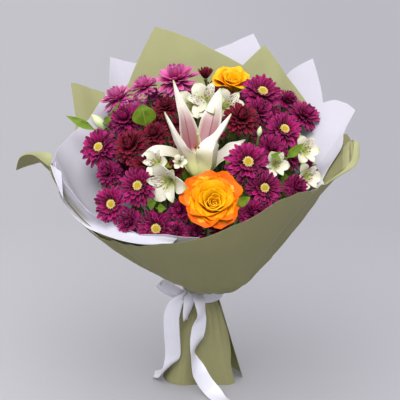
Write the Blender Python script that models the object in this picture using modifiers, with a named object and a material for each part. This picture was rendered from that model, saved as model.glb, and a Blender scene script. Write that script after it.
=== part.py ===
"""A hand-tied bouquet of mums, roses, a lily and alstroemerias, standing in its paper wrap.

Metres, +Z up.  The origin is on the table, at the middle of the foot, under the cut
end of the lily's stem.  The front of the bouquet looks along -Y, its right is +X.
Sizes below are millimetres and degrees unless a comment says otherwise.
"""
import math

import bmesh
import bpy
from mathutils import Matrix, Vector
from mathutils.bvhtree import BVHTree

MM = 0.001
GAP = 0.35                  # air left between two pieces that touch

# The tie: where ribbon, papers and stems are drawn together.
TIE_TOP = 143
TIE_FOOT = 124
TIE_RADIUS = 20.1           # inner face of the innermost paper
RIBBON_WIDTH = 25
BAND_WIDTH = 15             # the ribbon is drawn in where it goes round the tie
RIBBON_THICK = 0.8

# The foot, where the green papers and the cut stems stand.
FOOT_HALF_WIDTH = 57
FOOT_HALF_DEPTH = 38
FOOT_LAYERS = 0.3           # share of the papers' spacing at the tie that is left here
SLEEVE_FLARE = 1.05         # 1 is a straight flare, more bends outward near the table

# The papers: how steeply the wrap stands, in degrees from upright, at distances up the
# wall from the tie, for eight directions round the bouquet (0 right, 90 back, 270 front).
PAPER_THICK = 0.7
TIE_STEP = 1.6              # from one paper to the next where they are drawn together
LAYER_STEP = 3.0            # and further up the wall
SPREAD_OVER = 70            # distance up the wall over which the papers part
WALL_STEP = 6               # how finely the lean is added up
FLAT_SLEEVE = 120           # distance up the wall over which a sleeve's paper fans out
EDGE_CLEAR = 9              # no row of points closer than this to a paper's upper edge
LEAN_AT = (0, 22, 45, 70, 120, 170, 230, 300, 400)
LEANS = {
    0: (0, 72, 70, 46, 40, 38, 31, 28, 24),
    45: (0, 46, 44, 40, 34, 28, 24, 20, 18),
    90: (0, 34, 34, 32, 28, 24, 20, 16, 14),
    135: (0, 50, 48, 44, 38, 30, 24, 20, 18),
    180: (0, 62, 62, 60, 58, 46, 26, 21, 18),
    225: (0, 54, 54, 52, 46, 38, 30, 26, 24),
    270: (0, 50, 48, 46, 40, 34, 30, 28, 26),
    315: (0, 60, 58, 50, 42, 36, 32, 30, 28),
}
WALL_ROWS = (0, 12, 24, 50, 88, 130, 170, 215, 275)
SLEEVE_ROWS = (0, 62, TIE_FOOT)

# Each paper: its layer counted from the inside, its upper edge as places on the wall
# (direction, distance up from the tie), and for two of them the directions that the
# sleeve below the tie covers.
PAPERS = {
    "white_paper_left": dict(layer=0, edge=(
        (136, 311), (142, 299), (152, 282), (161, 281), (173, 280), (186, 279), (191, 250),
        (200, 205), (216, 163), (232, 154), (250, 148), (268, 143))),
    "green_paper_back": dict(layer=1, sleeve=(-10, 190), edge=(
        (32, 290), (46, 320), (60, 359), (69, 323), (85, 341), (99, 361), (112, 383),
        (120, 344), (128, 303))),
    "white_paper_right": dict(layer=2, edge=(
        (-50, 225), (-35, 226), (-20, 228), (-6, 235), (7, 262), (12, 326), (20, 318),
        (26, 304), (37, 357), (46, 328), (53, 300))),
    "white_paper_back": dict(layer=2, edge=(
        (57, 330), (66, 372), (76, 352), (86, 338), (99, 328), (110, 330), (122, 338),
        (132, 355), (136, 320))),
    "green_paper_left": dict(layer=3, edge=(
        (139, 307), (153, 343), (158, 284), (165, 281), (170, 300), (174, 345), (180, 340),
        (184, 300), (190, 262), (196, 225), (201, 190), (208, 163), (224, 154), (240, 148))),
    "green_paper_right": dict(layer=3, edge=(
        (-44, 239), (-36, 248), (-28, 260), (-20, 280), (-11, 290), (0, 290), (8, 287),
        (16, 284), (22, 268))),
    "green_paper_front": dict(layer=4, sleeve=(186, 322), edge=(
        (190, 205), (197, 185), (206, 160), (220, 158), (234, 159), (252, 165), (271, 171),
        (282, 185), (291, 205), (300, 230), (309, 255), (319, 264), (328, 288), (337, 268),
        (344, 200))),
}
CURL = dict(paper="green_paper_left", middle=177, half=11, start=288, length=40, roll=95)

# The stems go round the lily's stem in a spiral and are tied at the same height.
STEM_RING = 15.5
STEM_FOOT_RING = 27
STEM_TWIST = 50
STEM_TOP_OF_TIE = 156
STEM_RADIUS = 4.15
LILY_LEAN = 5.9             # how far the lily's stem leans against its neighbour at the tie
STRAIGHT_FOOT = 20          # how far up from its cut end the lily's stem stands upright
BRANCH = 1.6

# Blooms: place of the middle, radius, and how far the face is turned to the viewer.
VIEWER = Vector((0, -math.cos(math.radians(18)), math.sin(math.radians(18))))
FOCUS = Vector((0, 60, 190))
MUMS = {
    "mum_01": dict(at=(-143, 5, 344), radius=29, turn=1.1, spray="left", disc=True),
    "mum_02": dict(at=(-87, -63, 310), radius=28, turn=1.2, spray="front_left", disc=True),
    "mum_03": dict(at=(-123, -57, 282), radius=28, turn=1.0, spray="front_left", disc=True),
    "mum_04": dict(at=(-62, -87, 265), radius=29, turn=0.8, spray="front", disc=True),
    "mum_05": dict(at=(-120, 78, 394), radius=27, turn=0.15, spray="back_left"),
    "mum_06": dict(at=(-82, 72, 413), radius=24, turn=0.1, spray="back_left"),
    "mum_07": dict(at=(-37, 70, 423), radius=34, turn=0.2, spray="back_left"),
    "mum_08": dict(at=(-106, 22, 380), radius=26, turn=0.5, spray="left"),
    "mum_09": dict(at=(-97, -22, 353), radius=27, turn=0.6, spray="left", dark=True),
    "mum_10": dict(at=(-66, -10, 367), radius=20, turn=0.6, spray="left", dark=True),
    "mum_11": dict(at=(-138, -24, 316), radius=22, turn=0.7, spray="front_left"),
    "mum_12": dict(at=(-98, -73, 262), radius=20, turn=0.7, spray="front_left"),
    "mum_13": dict(at=(-34, -96, 254), radius=18, turn=0.8, spray="front"),
    "mum_14": dict(at=(84, 70, 407), radius=31, turn=1.0, spray="back_right", disc=True),
    "mum_15": dict(at=(77, 26, 389), radius=22, turn=0.9, spray="back_right"),
    "mum_16": dict(at=(112, 14, 367), radius=29, turn=0.8, spray="right", disc=True),
    "mum_17": dict(at=(144, 77, 371), radius=26, turn=0.5, spray="back_right"),
    "mum_18": dict(at=(52, 2, 385), radius=27, turn=0.5, spray="back_right", dark=True),
    "mum_19": dict(at=(60, -50, 339), radius=31, turn=1.1, spray="front_right", disc=True),
    "mum_20": dict(at=(82, -64, 307), radius=27, turn=1.1, spray="front_right", disc=True),
    "mum_21": dict(at=(68, -84, 277), radius=23, turn=0.9, spray="front_right"),
    "mum_22": dict(at=(92, -18, 349), radius=22, turn=0.9, spray="right"),
    "mum_23": dict(at=(127, -36, 300), radius=19, turn=0.8, spray="right"),
    "mum_24": dict(at=(-78, -44, 336), radius=23, turn=0.9, spray="front_left", dark=True),
    "mum_25": dict(at=(-50, 16, 398), radius=19, turn=0.4, spray="back_left", dark=True),
    "mum_26": dict(at=(2, 84, 427), radius=18, turn=0.1, spray="back_left"),
    "mum_27": dict(at=(121, 100, 387), radius=21, turn=0.3, spray="back_right"),
}
ROSES = {
    "rose_front": dict(at=(9, -88, 300), axis=(0.02, -0.9, 0.42), radius=42,
                       rings=((3, 0.30, 0.40), (4, 0.48, 0.36), (5, 0.70, 0.22), (5, 0.92, 0.02))),
    "rose_back": dict(at=(43, 96, 424), axis=(0.05, -0.25, 0.96), radius=29,
                      rings=((3, 0.34, 0.46), (4, 0.62, 0.36), (5, 0.92, 0.10))),
}
ALSTROS = {
    "alstroemeria_01": dict(at=(12, 34, 418), axis=(0.1, -0.6, 0.75), radius=27, spray="alstro_left"),
    "alstroemeria_02": dict(at=(38, 44, 408), axis=(0.5, -0.5, 0.7), radius=22, spray="alstro_left"),
    "alstroemeria_03": dict(at=(-47, -78, 318), axis=(-0.3, -0.95, -0.05), radius=30, spray="alstro_left"),
    "alstroemeria_04": dict(at=(138, 2, 333), axis=(0.5, -0.8, 0.4), radius=21, spray="alstro_right"),
    "alstroemeria_05": dict(at=(102, -44, 321), axis=(0.2, -0.9, 0.3), radius=18, spray="alstro_right"),
    "alstroemeria_06": dict(at=(152, -8, 303), axis=(0.6, -0.7, 0.1), radius=16, spray="alstro_right"),
}
BUDS = {
    "alstro_left": ((-146, 50, 368), 9),
    "alstro_right": ((76, -20, 368), 7),
}
# The stems' order round the tie, each with the direction of its heads.
SPRAYS = ("back_right", "rose_back", "alstro_left", "back_left", "left", "front_left",
          "front", "rose_front", "front_right", "alstro_right", "right")
FIRST_SLOT = 20
FORK_MOVES = {"alstro_right": (0, -13, -12)}

# The lily: its tepals by points to the right of its foot, up the view and towards the
# viewer, with the width there.
LILY_FOOT = (-5, -24, 300)
LILY_AXIS = (-0.02, -0.35, 0.94)
PETAL_THICK = 0.9
TEPAL_TIP = 1.8             # width left at a tepal's tip
TEPAL_KEEL = 0.12           # how far its middle line stands out, as a share of its half width
TEPALS = (
    ((11, 52, 0, 30), (25, 86, -6, 30), (34, 120, -16, 0)),
    ((-10, 52, 8, 26), (-21, 98, 14, 23), (-32, 142, 10, 0)),
    ((-24, 44, 14, 28), (-49, 55, 27, 26), (-80, 40, 34, 0)),
    ((-21, 34, 37, 24), (-34, 64, 44, 22), (-46, 96, 44, 0)),
    ((18, 27, 40, 26), (28, 42, 50, 24), (32, 30, 62, 0)),
    ((22, 42, 4, 28), (44, 56, 8, 24), (68, 50, 2, 0)),
)

# Leaves: the spray they grow from, root on the stem, tip, widest width and how much they
# bow upwards.
LEAF_THICK = 0.9
LEAVES = (
    ("back_left", (-70, 30, 385), (-84, 2, 412), 34, 3),
    ("alstro_left", (-146, 50, 362), (-170, 34, 376), 9, 2),
    ("front_left", (-76, -70, 285), (-62, -100, 296), 14, 3),
    ("rose_front", (57, -64, 267), (63, -99, 302), 14, 3),
    ("alstro_right", (110, -20, 338), (112, -46, 352), 12, 3),
)

COLOURS = {
    "mum_magenta": ((0.42, 0.015, 0.16), 0.6),
    "mum_burgundy": ((0.20, 0.008, 0.04), 0.6),
    "rose_orange": ((0.95, 0.32, 0.02), 0.5),
    "rose_yellow": ((0.95, 0.48, 0.02), 0.5),
    "lily_white": ((0.86, 0.80, 0.68), 0.45),
    "stamen_orange": ((0.62, 0.22, 0.06), 0.8),
    "alstroemeria_white": ((0.80, 0.82, 0.66), 0.5),
    "stem_green": ((0.12, 0.24, 0.03), 0.5),
    "green_paper": ((0.27, 0.29, 0.13), 0.75),
    "white_paper": ((0.76, 0.74, 0.80), 0.7),
    "white_satin": ((0.80, 0.80, 0.84), 0.35),
}


def clear_scene():
    for thing in list(bpy.data.objects):
        bpy.data.objects.remove(thing, do_unlink=True)


def make_material(name):
    colour, roughness = COLOURS[name]
    material = bpy.data.materials.new(name)
    material.use_nodes = True
    shader = material.node_tree.nodes["Principled BSDF"]
    shader.inputs["Base Color"].default_value = (*colour, 1)
    shader.inputs["Roughness"].default_value = roughness
    shader.inputs["Metallic"].default_value = 0
    return material


def smooth(value):
    value = max(0.0, min(1.0, value))
    return value * value * (3 - 2 * value)


def table(places, values, where):
    """Read a list of values given at rising places, straight between them."""
    for i in range(len(places) - 1):
        if where <= places[i + 1]:
            share = (where - places[i]) / (places[i + 1] - places[i])
            return values[i] + (values[i + 1] - values[i]) * max(0.0, share)
    return values[-1]


def mesh_object(name, bm, material, flat=False):
    """Turn a bmesh in millimetres into an object in metres."""
    bmesh.ops.recalc_face_normals(bm, faces=bm.faces)
    bmesh.ops.scale(bm, vec=(MM, MM, MM), verts=bm.verts)
    mesh = bpy.data.meshes.new(name)
    bm.to_mesh(mesh)
    bm.free()
    mesh.materials.append(material)
    if not flat:
        mesh.shade_smooth()
        mesh.set_sharp_from_angle(angle=math.radians(50))
    thing = bpy.data.objects.new(name, mesh)
    bouquet.objects.link(thing)
    return thing


def thicken(thing, thickness):
    """Give a sheet its thickness, half to each side."""
    thick = thing.modifiers.new("thickness", "SOLIDIFY")
    thick.thickness = thickness * MM
    thick.offset = 0
    return apply_modifiers(thing)


def apply_modifiers(thing):
    """Keep the shape that the modifiers give and drop them."""
    bpy.context.view_layer.update()
    evaluated = thing.evaluated_get(bpy.context.evaluated_depsgraph_get())
    mesh = bpy.data.meshes.new_from_object(evaluated)
    thing.modifiers.clear()
    thing.data = mesh
    return thing


def join_solids(base, others, solver="EXACT"):
    """Join overlapping solids into the first by one union, and remove the others."""
    group = bpy.data.collections.new(base.name + "_group")
    bpy.context.scene.collection.children.link(group)
    for thing in others:
        for owner in list(thing.users_collection):
            owner.objects.unlink(thing)
        group.objects.link(thing)
    union = base.modifiers.new("union", "BOOLEAN")
    union.operation = "UNION"
    union.operand_type = "COLLECTION"
    union.solver = solver
    union.collection = group
    apply_modifiers(base)
    for thing in others:
        bpy.data.objects.remove(thing, do_unlink=True)
    bpy.data.collections.remove(group)
    return base


def tube(name, points, radii, sides, material):
    """A stem along points, with a radius at each, as a closed mesh."""
    curve = bpy.data.curves.new(name, "CURVE")
    curve.dimensions = "3D"
    curve.bevel_depth = MM
    curve.bevel_resolution = (sides - 4) // 2
    curve.use_fill_caps = True
    spline = curve.splines.new("POLY")
    spline.points.add(len(points) - 1)
    for knot, point, radius in zip(spline.points, points, radii):
        knot.co = (*(Vector(point) * MM), 1)
        knot.radius = radius
    thing = bpy.data.objects.new(name, curve)
    bouquet.objects.link(thing)
    bpy.context.view_layer.update()
    evaluated = thing.evaluated_get(bpy.context.evaluated_depsgraph_get())
    mesh = bpy.data.meshes.new_from_object(evaluated)
    bpy.data.objects.remove(thing, do_unlink=True)
    bpy.data.curves.remove(curve)
    bm = bmesh.new()
    bm.from_mesh(mesh)
    bmesh.ops.remove_doubles(bm, verts=bm.verts, dist=0.01 * MM)
    bmesh.ops.recalc_face_normals(bm, faces=bm.faces)
    mesh.clear_geometry()
    bm.to_mesh(mesh)
    bm.free()
    mesh.materials.clear()
    mesh.materials.append(material)
    solid = bpy.data.objects.new(name, mesh)
    bouquet.objects.link(solid)
    return solid


def lean(direction, distance):
    """How far the wall leans from upright, in radians, at a place on it."""
    sector, share = divmod(direction % 360, 45)
    here = LEANS[int(sector) * 45 % 360]
    after = LEANS[(int(sector) + 1) * 45 % 360]
    low = table(LEAN_AT, here, distance)
    high = table(LEAN_AT, after, distance)
    return math.radians(low + (high - low) * smooth(share / 45))


def wall_point(direction, distance, depth, roll=0.0):
    """A place on the wrap's wall, depth outside its innermost face."""
    steps = max(1, round(distance / WALL_STEP))
    out = TIE_RADIUS
    height = TIE_TOP
    angle = lean(direction, 0)
    for i in range(steps):
        here = distance * (i + 0.5) / steps
        angle = lean(direction, here) + roll * smooth((here - CURL["start"]) / CURL["length"])
        out += math.sin(angle) * distance / steps
        height += math.cos(angle) * distance / steps
    out += depth * math.cos(angle)
    height -= depth * math.sin(angle)
    turn = math.radians(direction)
    return Vector((out * math.cos(turn), out * math.sin(turn), height))


def layer_depth(layer, distance):
    """How far outside the innermost paper's inner face the middle of a paper lies."""
    step = TIE_STEP + (LAYER_STEP - TIE_STEP) * smooth(distance / SPREAD_OVER)
    return layer * step + PAPER_THICK / 2


def sleeve_point(direction, height, depth):
    """A place on the sleeve below the tie, which widens to the foot's ellipse."""
    drop = (TIE_FOOT - height) / TIE_FOOT
    tie = TIE_RADIUS + depth
    opened = drop ** SLEEVE_FLARE
    apart = FOOT_LAYERS * depth
    wide = tie + (FOOT_HALF_WIDTH + apart - tie) * opened
    deep = tie + (FOOT_HALF_DEPTH + apart - tie) * opened
    turn = math.radians(direction)
    return Vector((wide * math.cos(turn), deep * math.sin(turn), height))


def paper_column(name, spec, direction, top, first, last):
    """The points of one line up a paper, from its lower edge to its upper edge."""
    depth = layer_depth(spec["layer"], 0)
    near_tie = direction
    points = []
    if "sleeve" in spec:
        low, high = spec["sleeve"]
        near_tie = low + (high - low) * (direction - first) / (last - first)
        points += [sleeve_point(near_tie, height, depth) for height in SLEEVE_ROWS]
    else:
        points.append(sleeve_point(direction, TIE_FOOT, depth))
    roll = 0.0
    if name == CURL["paper"]:
        away = abs(direction - CURL["middle"]) / CURL["half"]
        roll = math.radians(CURL["roll"]) * smooth(1.3 - away)
    for distance in [row for row in WALL_ROWS if row < top - EDGE_CLEAR] + [top]:
        share = smooth(distance / FLAT_SLEEVE)
        depth = layer_depth(spec["layer"], distance)
        points.append(wall_point(near_tie + (direction - near_tie) * share, distance, depth, roll))
    return points


def make_paper(name, spec):
    """One sheet of wrap: lines of points up the wall, joined and given its thickness."""
    edge = spec["edge"]
    first, last = edge[0][0], edge[-1][0]
    bm = bmesh.new()
    columns = []
    for direction, top in edge:
        points = paper_column(name, spec, direction, top, first, last)
        columns.append([bm.verts.new(point) for point in points])
    for left, right in zip(columns, columns[1:]):
        shared = min(len(left), len(right)) - 1
        for i in range(shared - 1):
            bm.faces.new((left[i], right[i], right[i + 1], left[i + 1]))
        bm.faces.new(right[shared - 1:] + left[shared - 1:][::-1])
    bmesh.ops.triangulate(bm, faces=bm.faces)
    kind = "green_paper" if name.startswith("green") else "white_paper"
    return stand_on_table(thicken(mesh_object(name, bm, materials[kind]), PAPER_THICK))


def frame_of(axis, twist=0.0):
    """A turn that takes +Z to the axis and keeps +X to the right."""
    up = Vector(axis).normalized()
    side = Vector((1, 0, 0))
    side = (side - up * side.dot(up)).normalized()
    turn = Matrix((side, up.cross(side), up)).transposed()
    return turn @ Matrix.Rotation(twist, 3, "Z")


def core_rings(bm, sides, rings):
    """A small core: rings of points, each turned half a step from the one below."""
    made = []
    for number, (radius, height) in enumerate(rings):
        ring = []
        for k in range(sides):
            turn = 2 * math.pi * (k + 0.5 * (number % 2)) / sides
            ring.append(bm.verts.new((radius * math.cos(turn), radius * math.sin(turn), height)))
        made.append(ring)
    bm.faces.new(made[0][::-1])
    bm.faces.new(made[-1])
    rows = []
    for number, (low, high) in enumerate(zip(made, made[1:])):
        shift = number % 2
        rising = []
        hanging = []
        for k in range(sides):
            after = (k + 1) % sides
            if shift:
                rising.append(bm.faces.new((low[k], low[after], high[after])))
                hanging.append(bm.faces.new((low[k], high[after], high[k])))
            else:
                rising.append(bm.faces.new((low[k], low[after], high[k])))
                hanging.append(bm.faces.new((low[after], high[after], high[k])))
        rows.append((rising, 1))
        rows.append((hanging, -1))
    return rows


def grow_blade(bm, face, sections, ridge):
    """Extrude a petal out of a face of the core.

    Each section is its middle, the half width as a vector across and the ridge as a
    vector up from the blade; the last section's half width is nothing, which is the tip.
    """
    middle = face.calc_center_median()
    across = sections[0][1].normalized()
    for place, half, up in sections:
        face = bmesh.ops.extrude_discrete_faces(bm, faces=[face])["faces"][0]
        corners = sorted(face.verts, key=lambda v: (v.co - middle).dot(across))
        if half.length < 1e-6:
            bmesh.ops.pointmerge(bm, verts=corners, merge_co=place)
            return
        corners[0].co = place - half
        corners[1].co = place + up * ridge
        corners[2].co = place + half
        middle = place


def blade_points(sections, ridge):
    points = []
    for place, half, up in sections:
        points += [place - half, place + half, place + up * ridge]
    return points


def petal_sections(direction, rise, tip_rise, length, width, thick, start):
    """Sections of a plain petal: it leaves the core at one slope and ends at another."""
    turn = math.radians(direction)
    flat = Vector((math.cos(turn), math.sin(turn), 0))
    across = Vector((-math.sin(turn), math.cos(turn), 0))
    up = Vector((0, 0, 1))
    slope = math.radians(rise)
    tip_slope = math.radians(tip_rise)
    belly = start + (flat * math.cos(slope) + up * math.sin(slope)) * length * BELLY
    tip = belly + (flat * math.cos(tip_slope) + up * math.sin(tip_slope)) * length * (1 - BELLY)
    lift = (up * math.cos(slope) - flat * math.sin(slope)) * thick
    return [(belly, across * width / 2, lift), (tip, Vector(), lift)]


def bloom_axis(spec):
    out = (Vector(spec["at"]) - FOCUS).normalized()
    return (out + VIEWER * spec["turn"]).normalized()


def inside_cell(point, planes):
    return all((point - place).dot(normal) < -GAP / 2 - 0.1 for place, normal in planes)


def cell_planes(name):
    """The planes halfway to each near mum, which its petals don't pass."""
    here = Vector(MUMS[name]["at"])
    planes = []
    for other, spec in MUMS.items():
        if other == name:
            continue
        way = Vector(spec["at"]) - here
        if way.length > 1.3 * (MUMS[name]["radius"] + spec["radius"]):
            continue
        far = way.length
        share = (far * far + MUMS[name]["radius"] ** 2 - spec["radius"] ** 2) / (2 * far)
        planes.append((here + way.normalized() * share, way.normalized()))
    return planes


MUM_ROWS = (
    # slope at the core, slope at the tip, length and turn as a share of the spacing
    (-12, -18, 1.18, 0.0),
    (8, 2, 1.14, 0.0),
    (31, 28, 1.0, 0.28),
    (54, 62, 0.66, 0.28),
)
CLOSED_ROW = (64, 84, 0.6, 0.28)
MUM_TRIALS = (1.0, 0.92, 0.84, 0.77, 0.7, 0.63, 0.56, 0.49, 0.42, 0.35, 0.28)
BELLY = 0.74                # where a petal is widest, along its length
# The triangles of a petal's outline: left, right and ridge of its belly, its tip in the
# fourth to sixth place, and its root in the seventh.
BLADE_FACES = ((0, 1, 3), (0, 3, 2), (2, 3, 1), (0, 2, 6), (0, 6, 1), (1, 6, 2))


def petal_fits(sections, ridge, turn, centre, planes, obstacles):
    """Whether a petal, made a little larger, is clear of the other blooms and pieces."""
    grown = []
    for place, half, up in sections:
        grown.append((place * 1.03, half * 1.15, up * 1.4))
    points = [turn @ point + centre for point in blade_points(grown, ridge)]
    if not all(inside_cell(point, planes) for point in points):
        return False
    points.append(turn @ (sections[0][0] * 0.42) + centre)
    return not BVHTree.FromPolygons(points, BLADE_FACES).overlap(obstacles)


def mum_petal(face, row, spec, sides, turn, planes, obstacles, ridge):
    """The sections of one petal, as long as its row has it or as its neighbours let it be."""
    rise, tip_rise, reach, swirl = row
    radius = spec["radius"]
    middle = face.calc_center_median()
    direction = math.degrees(math.atan2(middle.y, middle.x)) + swirl * 360 / sides
    for share in MUM_TRIALS:
        length = reach * radius * share - middle.length * 0.9
        belly = (BELLY * length + middle.length) * math.cos(math.radians(rise))
        width = 1.92 * belly * math.tan(math.pi / (2 * sides))
        width = min(0.34 * radius, max(width, 0.12 * radius))
        sections = petal_sections(direction, rise, tip_rise, length, width, 0.05 * radius, middle)
        if petal_fits(sections, ridge, turn, Vector(spec["at"]), planes, obstacles):
            break
    return sections


def make_mum(name, spec, obstacles):
    """A mum: four rows of ridged petals grown out of a small core."""
    radius = spec["radius"]
    sides = 8 if radius > 26 else 7 if radius > 20 else 6
    planes = cell_planes(name)
    turn = frame_of(bloom_axis(spec), twist=0.7 * sum(spec["at"]))
    bm = bmesh.new()
    top = 0.21 if spec.get("disc") else 0.12
    rows = core_rings(bm, sides, ((0.17 * radius, -0.17 * radius), (0.28 * radius, 0),
                                  (top * radius, 0.14 * radius)))
    bm.faces.ensure_lookup_table()
    crown = [face for face in bm.faces if len(face.verts) == sides][-1]
    bmesh.ops.poke(bm, faces=[crown], offset=0.08 * radius)
    for (faces, ridge), row in zip(rows, MUM_ROWS):
        if row == MUM_ROWS[-1] and not spec.get("disc"):
            row = CLOSED_ROW
        for face in faces:
            sections = mum_petal(face, row, spec, sides, turn, planes, obstacles, ridge)
            grow_blade(bm, face, sections, ridge)
    place = Matrix.Translation(Vector(spec["at"])) @ turn.to_4x4()
    bmesh.ops.transform(bm, matrix=place, verts=bm.verts)
    kind = "mum_burgundy" if spec.get("dark") else "mum_magenta"
    return mesh_object(name, bm, materials[kind], flat=True)


ROSE_PROFILE = (
    # share of the petal's reach, share of its height, share of its width
    (0.0, 0.0, 0.55),
    (0.78, 0.40, 0.95),
    (1.00, 0.80, 1.00),
    (1.14, 1.0, 0.72),
)
ROSE_HEART = ((0.12, -0.58), (0.30, -0.50), (0.33, -0.30), (0.22, -0.05), (0.17, 0.22), (0.05, 0.44))
PETAL_ROOT = 0.16           # how far out a rose's petals start, inside its heart
PETAL_FOOT = -0.46          # and how far below its middle


def rose_petal(spec, direction, reach, top, spread):
    """One cupped petal with its lip turned out, wound a little outside the next one."""
    radius = spec["radius"]
    bm = bmesh.new()
    rows = []
    for out, up, wide in ROSE_PROFILE:
        row = []
        for u in (-1, 0, 1):
            angle = math.radians(direction + spread * wide * u)
            crown = 1 - 0.06 * u * u if up == 1.0 else 1
            away = radius * max(PETAL_ROOT, reach * out * crown) * (1 + 0.08 * u)
            drop = 0.10 * u * u if up == 1.0 else 0
            height = radius * (PETAL_FOOT + (top - PETAL_FOOT) * up - drop)
            row.append(bm.verts.new((away * math.cos(angle), away * math.sin(angle), height)))
        rows.append(row)
    for low, high in zip(rows, rows[1:]):
        for i in range(2):
            bm.faces.new((low[i], low[i + 1], high[i + 1], high[i]))
    bmesh.ops.triangulate(bm, faces=bm.faces)
    return thicken(mesh_object("petal", bm, materials["rose_orange"]), PETAL_THICK)


def make_rose(name, spec):
    """A rose: rings of cupped petals round a bud, joined into one bloom."""
    radius = spec["radius"]
    bm = bmesh.new()
    profile = [bm.verts.new((out * radius, 0, up * radius)) for out, up in ROSE_HEART]
    edges = [bm.edges.new(pair) for pair in zip(profile, profile[1:])]
    bmesh.ops.spin(bm, geom=profile + edges, cent=(0, 0, 0), axis=(0, 0, 1), steps=8,
                   angle=2 * math.pi, use_merge=True)
    rims = [edge for edge in bm.edges if edge.is_boundary]
    bmesh.ops.holes_fill(bm, edges=rims)
    kind = "rose_orange" if name == "rose_front" else "rose_yellow"
    bud = mesh_object(name, bm, materials[kind])
    petals = []
    for number, (count, reach, top) in enumerate(spec["rings"]):
        for k in range(count):
            direction = 360 * k / count + 47 * number
            petals.append(rose_petal(spec, direction, reach, top, 200 / count))
    join_solids(bud, petals)
    turn = frame_of(spec["axis"])
    place = Matrix.Translation(Vector(spec["at"]) * MM) @ turn.to_4x4()
    bud.data.transform(place)
    return bud


def view_point(right, up, near):
    """A place from the lily's foot, as steps across the view, up it and towards it."""
    up_view = Vector((0, math.sin(math.radians(18)), math.cos(math.radians(18))))
    return Vector(LILY_FOOT) + Vector((right, 0, 0)) + up_view * up + VIEWER * near


def lily_tepal(turn, direction, tepal):
    """One keeled tepal: up the trumpet from its foot, then out through its own points."""
    foot = Vector(LILY_FOOT)
    axis = turn.col[2]
    out = turn @ Vector((math.cos(direction), math.sin(direction), 0))
    across = axis.cross(out)
    rows = [(foot + axis * 2 + out * 1.5, across * 2.2, out),
            (foot + axis * 30 + out * 12, across * 5.6, out)]
    before = rows[-1][0]
    for right, up, near, width in tepal:
        place = view_point(right, up, near)
        along = (place - before).normalized()
        level = (across - along * across.dot(along)).normalized()
        rows.append((place, level * max(width, TEPAL_TIP) / 2, level.cross(along)))
        before = place
    bm = bmesh.new()
    points = []
    for place, half, keel in rows:
        middle = place + keel * half.length * TEPAL_KEEL
        points.append([bm.verts.new(point) for point in (place - half, middle, place + half)])
    for low, high in zip(points, points[1:]):
        for i in range(2):
            bm.faces.new((low[i], low[i + 1], high[i + 1], high[i]))
    bmesh.ops.triangulate(bm, faces=bm.faces)
    return thicken(mesh_object("tepal", bm, materials["lily_white"]), PETAL_THICK)


def make_lily():
    """The lily: six tepals joined at a small foot, held as a trumpet and then spreading."""
    turn = frame_of(LILY_AXIS)
    bm = bmesh.new()
    bmesh.ops.create_cone(bm, cap_ends=True, segments=6, radius1=4.5, radius2=5.5, depth=9)
    place = Matrix.Translation(Vector(LILY_FOOT) + turn.col[2] * 4.5) @ turn.to_4x4()
    bmesh.ops.transform(bm, matrix=place, verts=bm.verts)
    foot = mesh_object("lily", bm, materials["lily_white"])
    tepals = [lily_tepal(turn, math.radians(60 * (k + 1)), tepal) for k, tepal in enumerate(TEPALS)]
    return join_solids(foot, tepals)


def make_lily_stamens():
    """Six stamens and the pistil, standing on one small seat in the trumpet."""
    turn = frame_of(LILY_AXIS)
    foot = Vector(LILY_FOOT)
    axis = Vector(LILY_AXIS).normalized()
    seat = foot + axis * (9 + GAP)
    base = tube("lily_stamens", (seat, seat + axis * 6), (2.2, 2.0), 6, materials["stamen_orange"])
    parts = []
    for k in range(7):
        angle = math.radians(60 * k + 30)
        out = turn @ Vector((math.cos(angle), math.sin(angle), 0))
        spread = 0.0 if k == 6 else 1.0
        length = 84 if k == 6 else 70
        top = seat + axis * length + out * 9 * spread
        root = seat + axis * 3 + out * 0.6 * spread
        parts.append(tube("filament", (root, top), (0.8, 0.7), 4, materials["stamen_orange"]))
        across = axis.cross(out) if spread else out
        half = across * (4.5 if spread else 1.6)
        parts.append(tube("anther", (top - half, top + half), (1.5, 1.5), 4,
                          materials["stamen_orange"]))
    return join_solids(base, parts)


def make_alstroemeria(name, spec):
    """An alstroemeria: three broad outer petals and three narrow inner ones."""
    radius = spec["radius"]
    bm = bmesh.new()
    rows = core_rings(bm, 3, ((0.10 * radius, -0.45 * radius), (0.13 * radius, -0.25 * radius)))
    for faces, ridge in rows:
        for face in faces:
            middle = face.calc_center_median()
            turn = math.atan2(middle.y, middle.x)
            flat = Vector((math.cos(turn), math.sin(turn), 0))
            across = Vector((-math.sin(turn), math.cos(turn), 0))
            up = Vector((0, 0, 1))
            broad = 0.80 if ridge > 0 else 0.50
            sections = [
                (flat * 0.24 * radius + up * -0.08 * radius, across * 0.11 * radius, flat * -1),
                (flat * 0.62 * radius + up * 0.16 * radius, across * broad / 2 * radius,
                 (up - flat * 0.4) * 1.1),
                (flat * 0.86 * radius + up * 0.16 * radius, across * broad / 2.3 * radius,
                 up * 1.1),
                (flat * radius + up * 0.10 * radius, Vector(), up),
            ]
            if ridge < 0:
                sections = [(place + up * 0.09 * radius, half, lift) for place, half, lift in sections]
            grow_blade(bm, face, sections, ridge)
    turn = frame_of(spec["axis"])
    bmesh.ops.transform(bm, matrix=Matrix.Translation(Vector(spec["at"])) @ turn.to_4x4(),
                        verts=bm.verts)
    return mesh_object(name, bm, materials["alstroemeria_white"], flat=True)


def stand_on_table(thing, below=1.2):
    """Cut what reaches the table off flat, level with it."""
    for vert in thing.data.vertices:
        if vert.co.z < below * MM:
            vert.co.z = 0
    return thing


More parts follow.
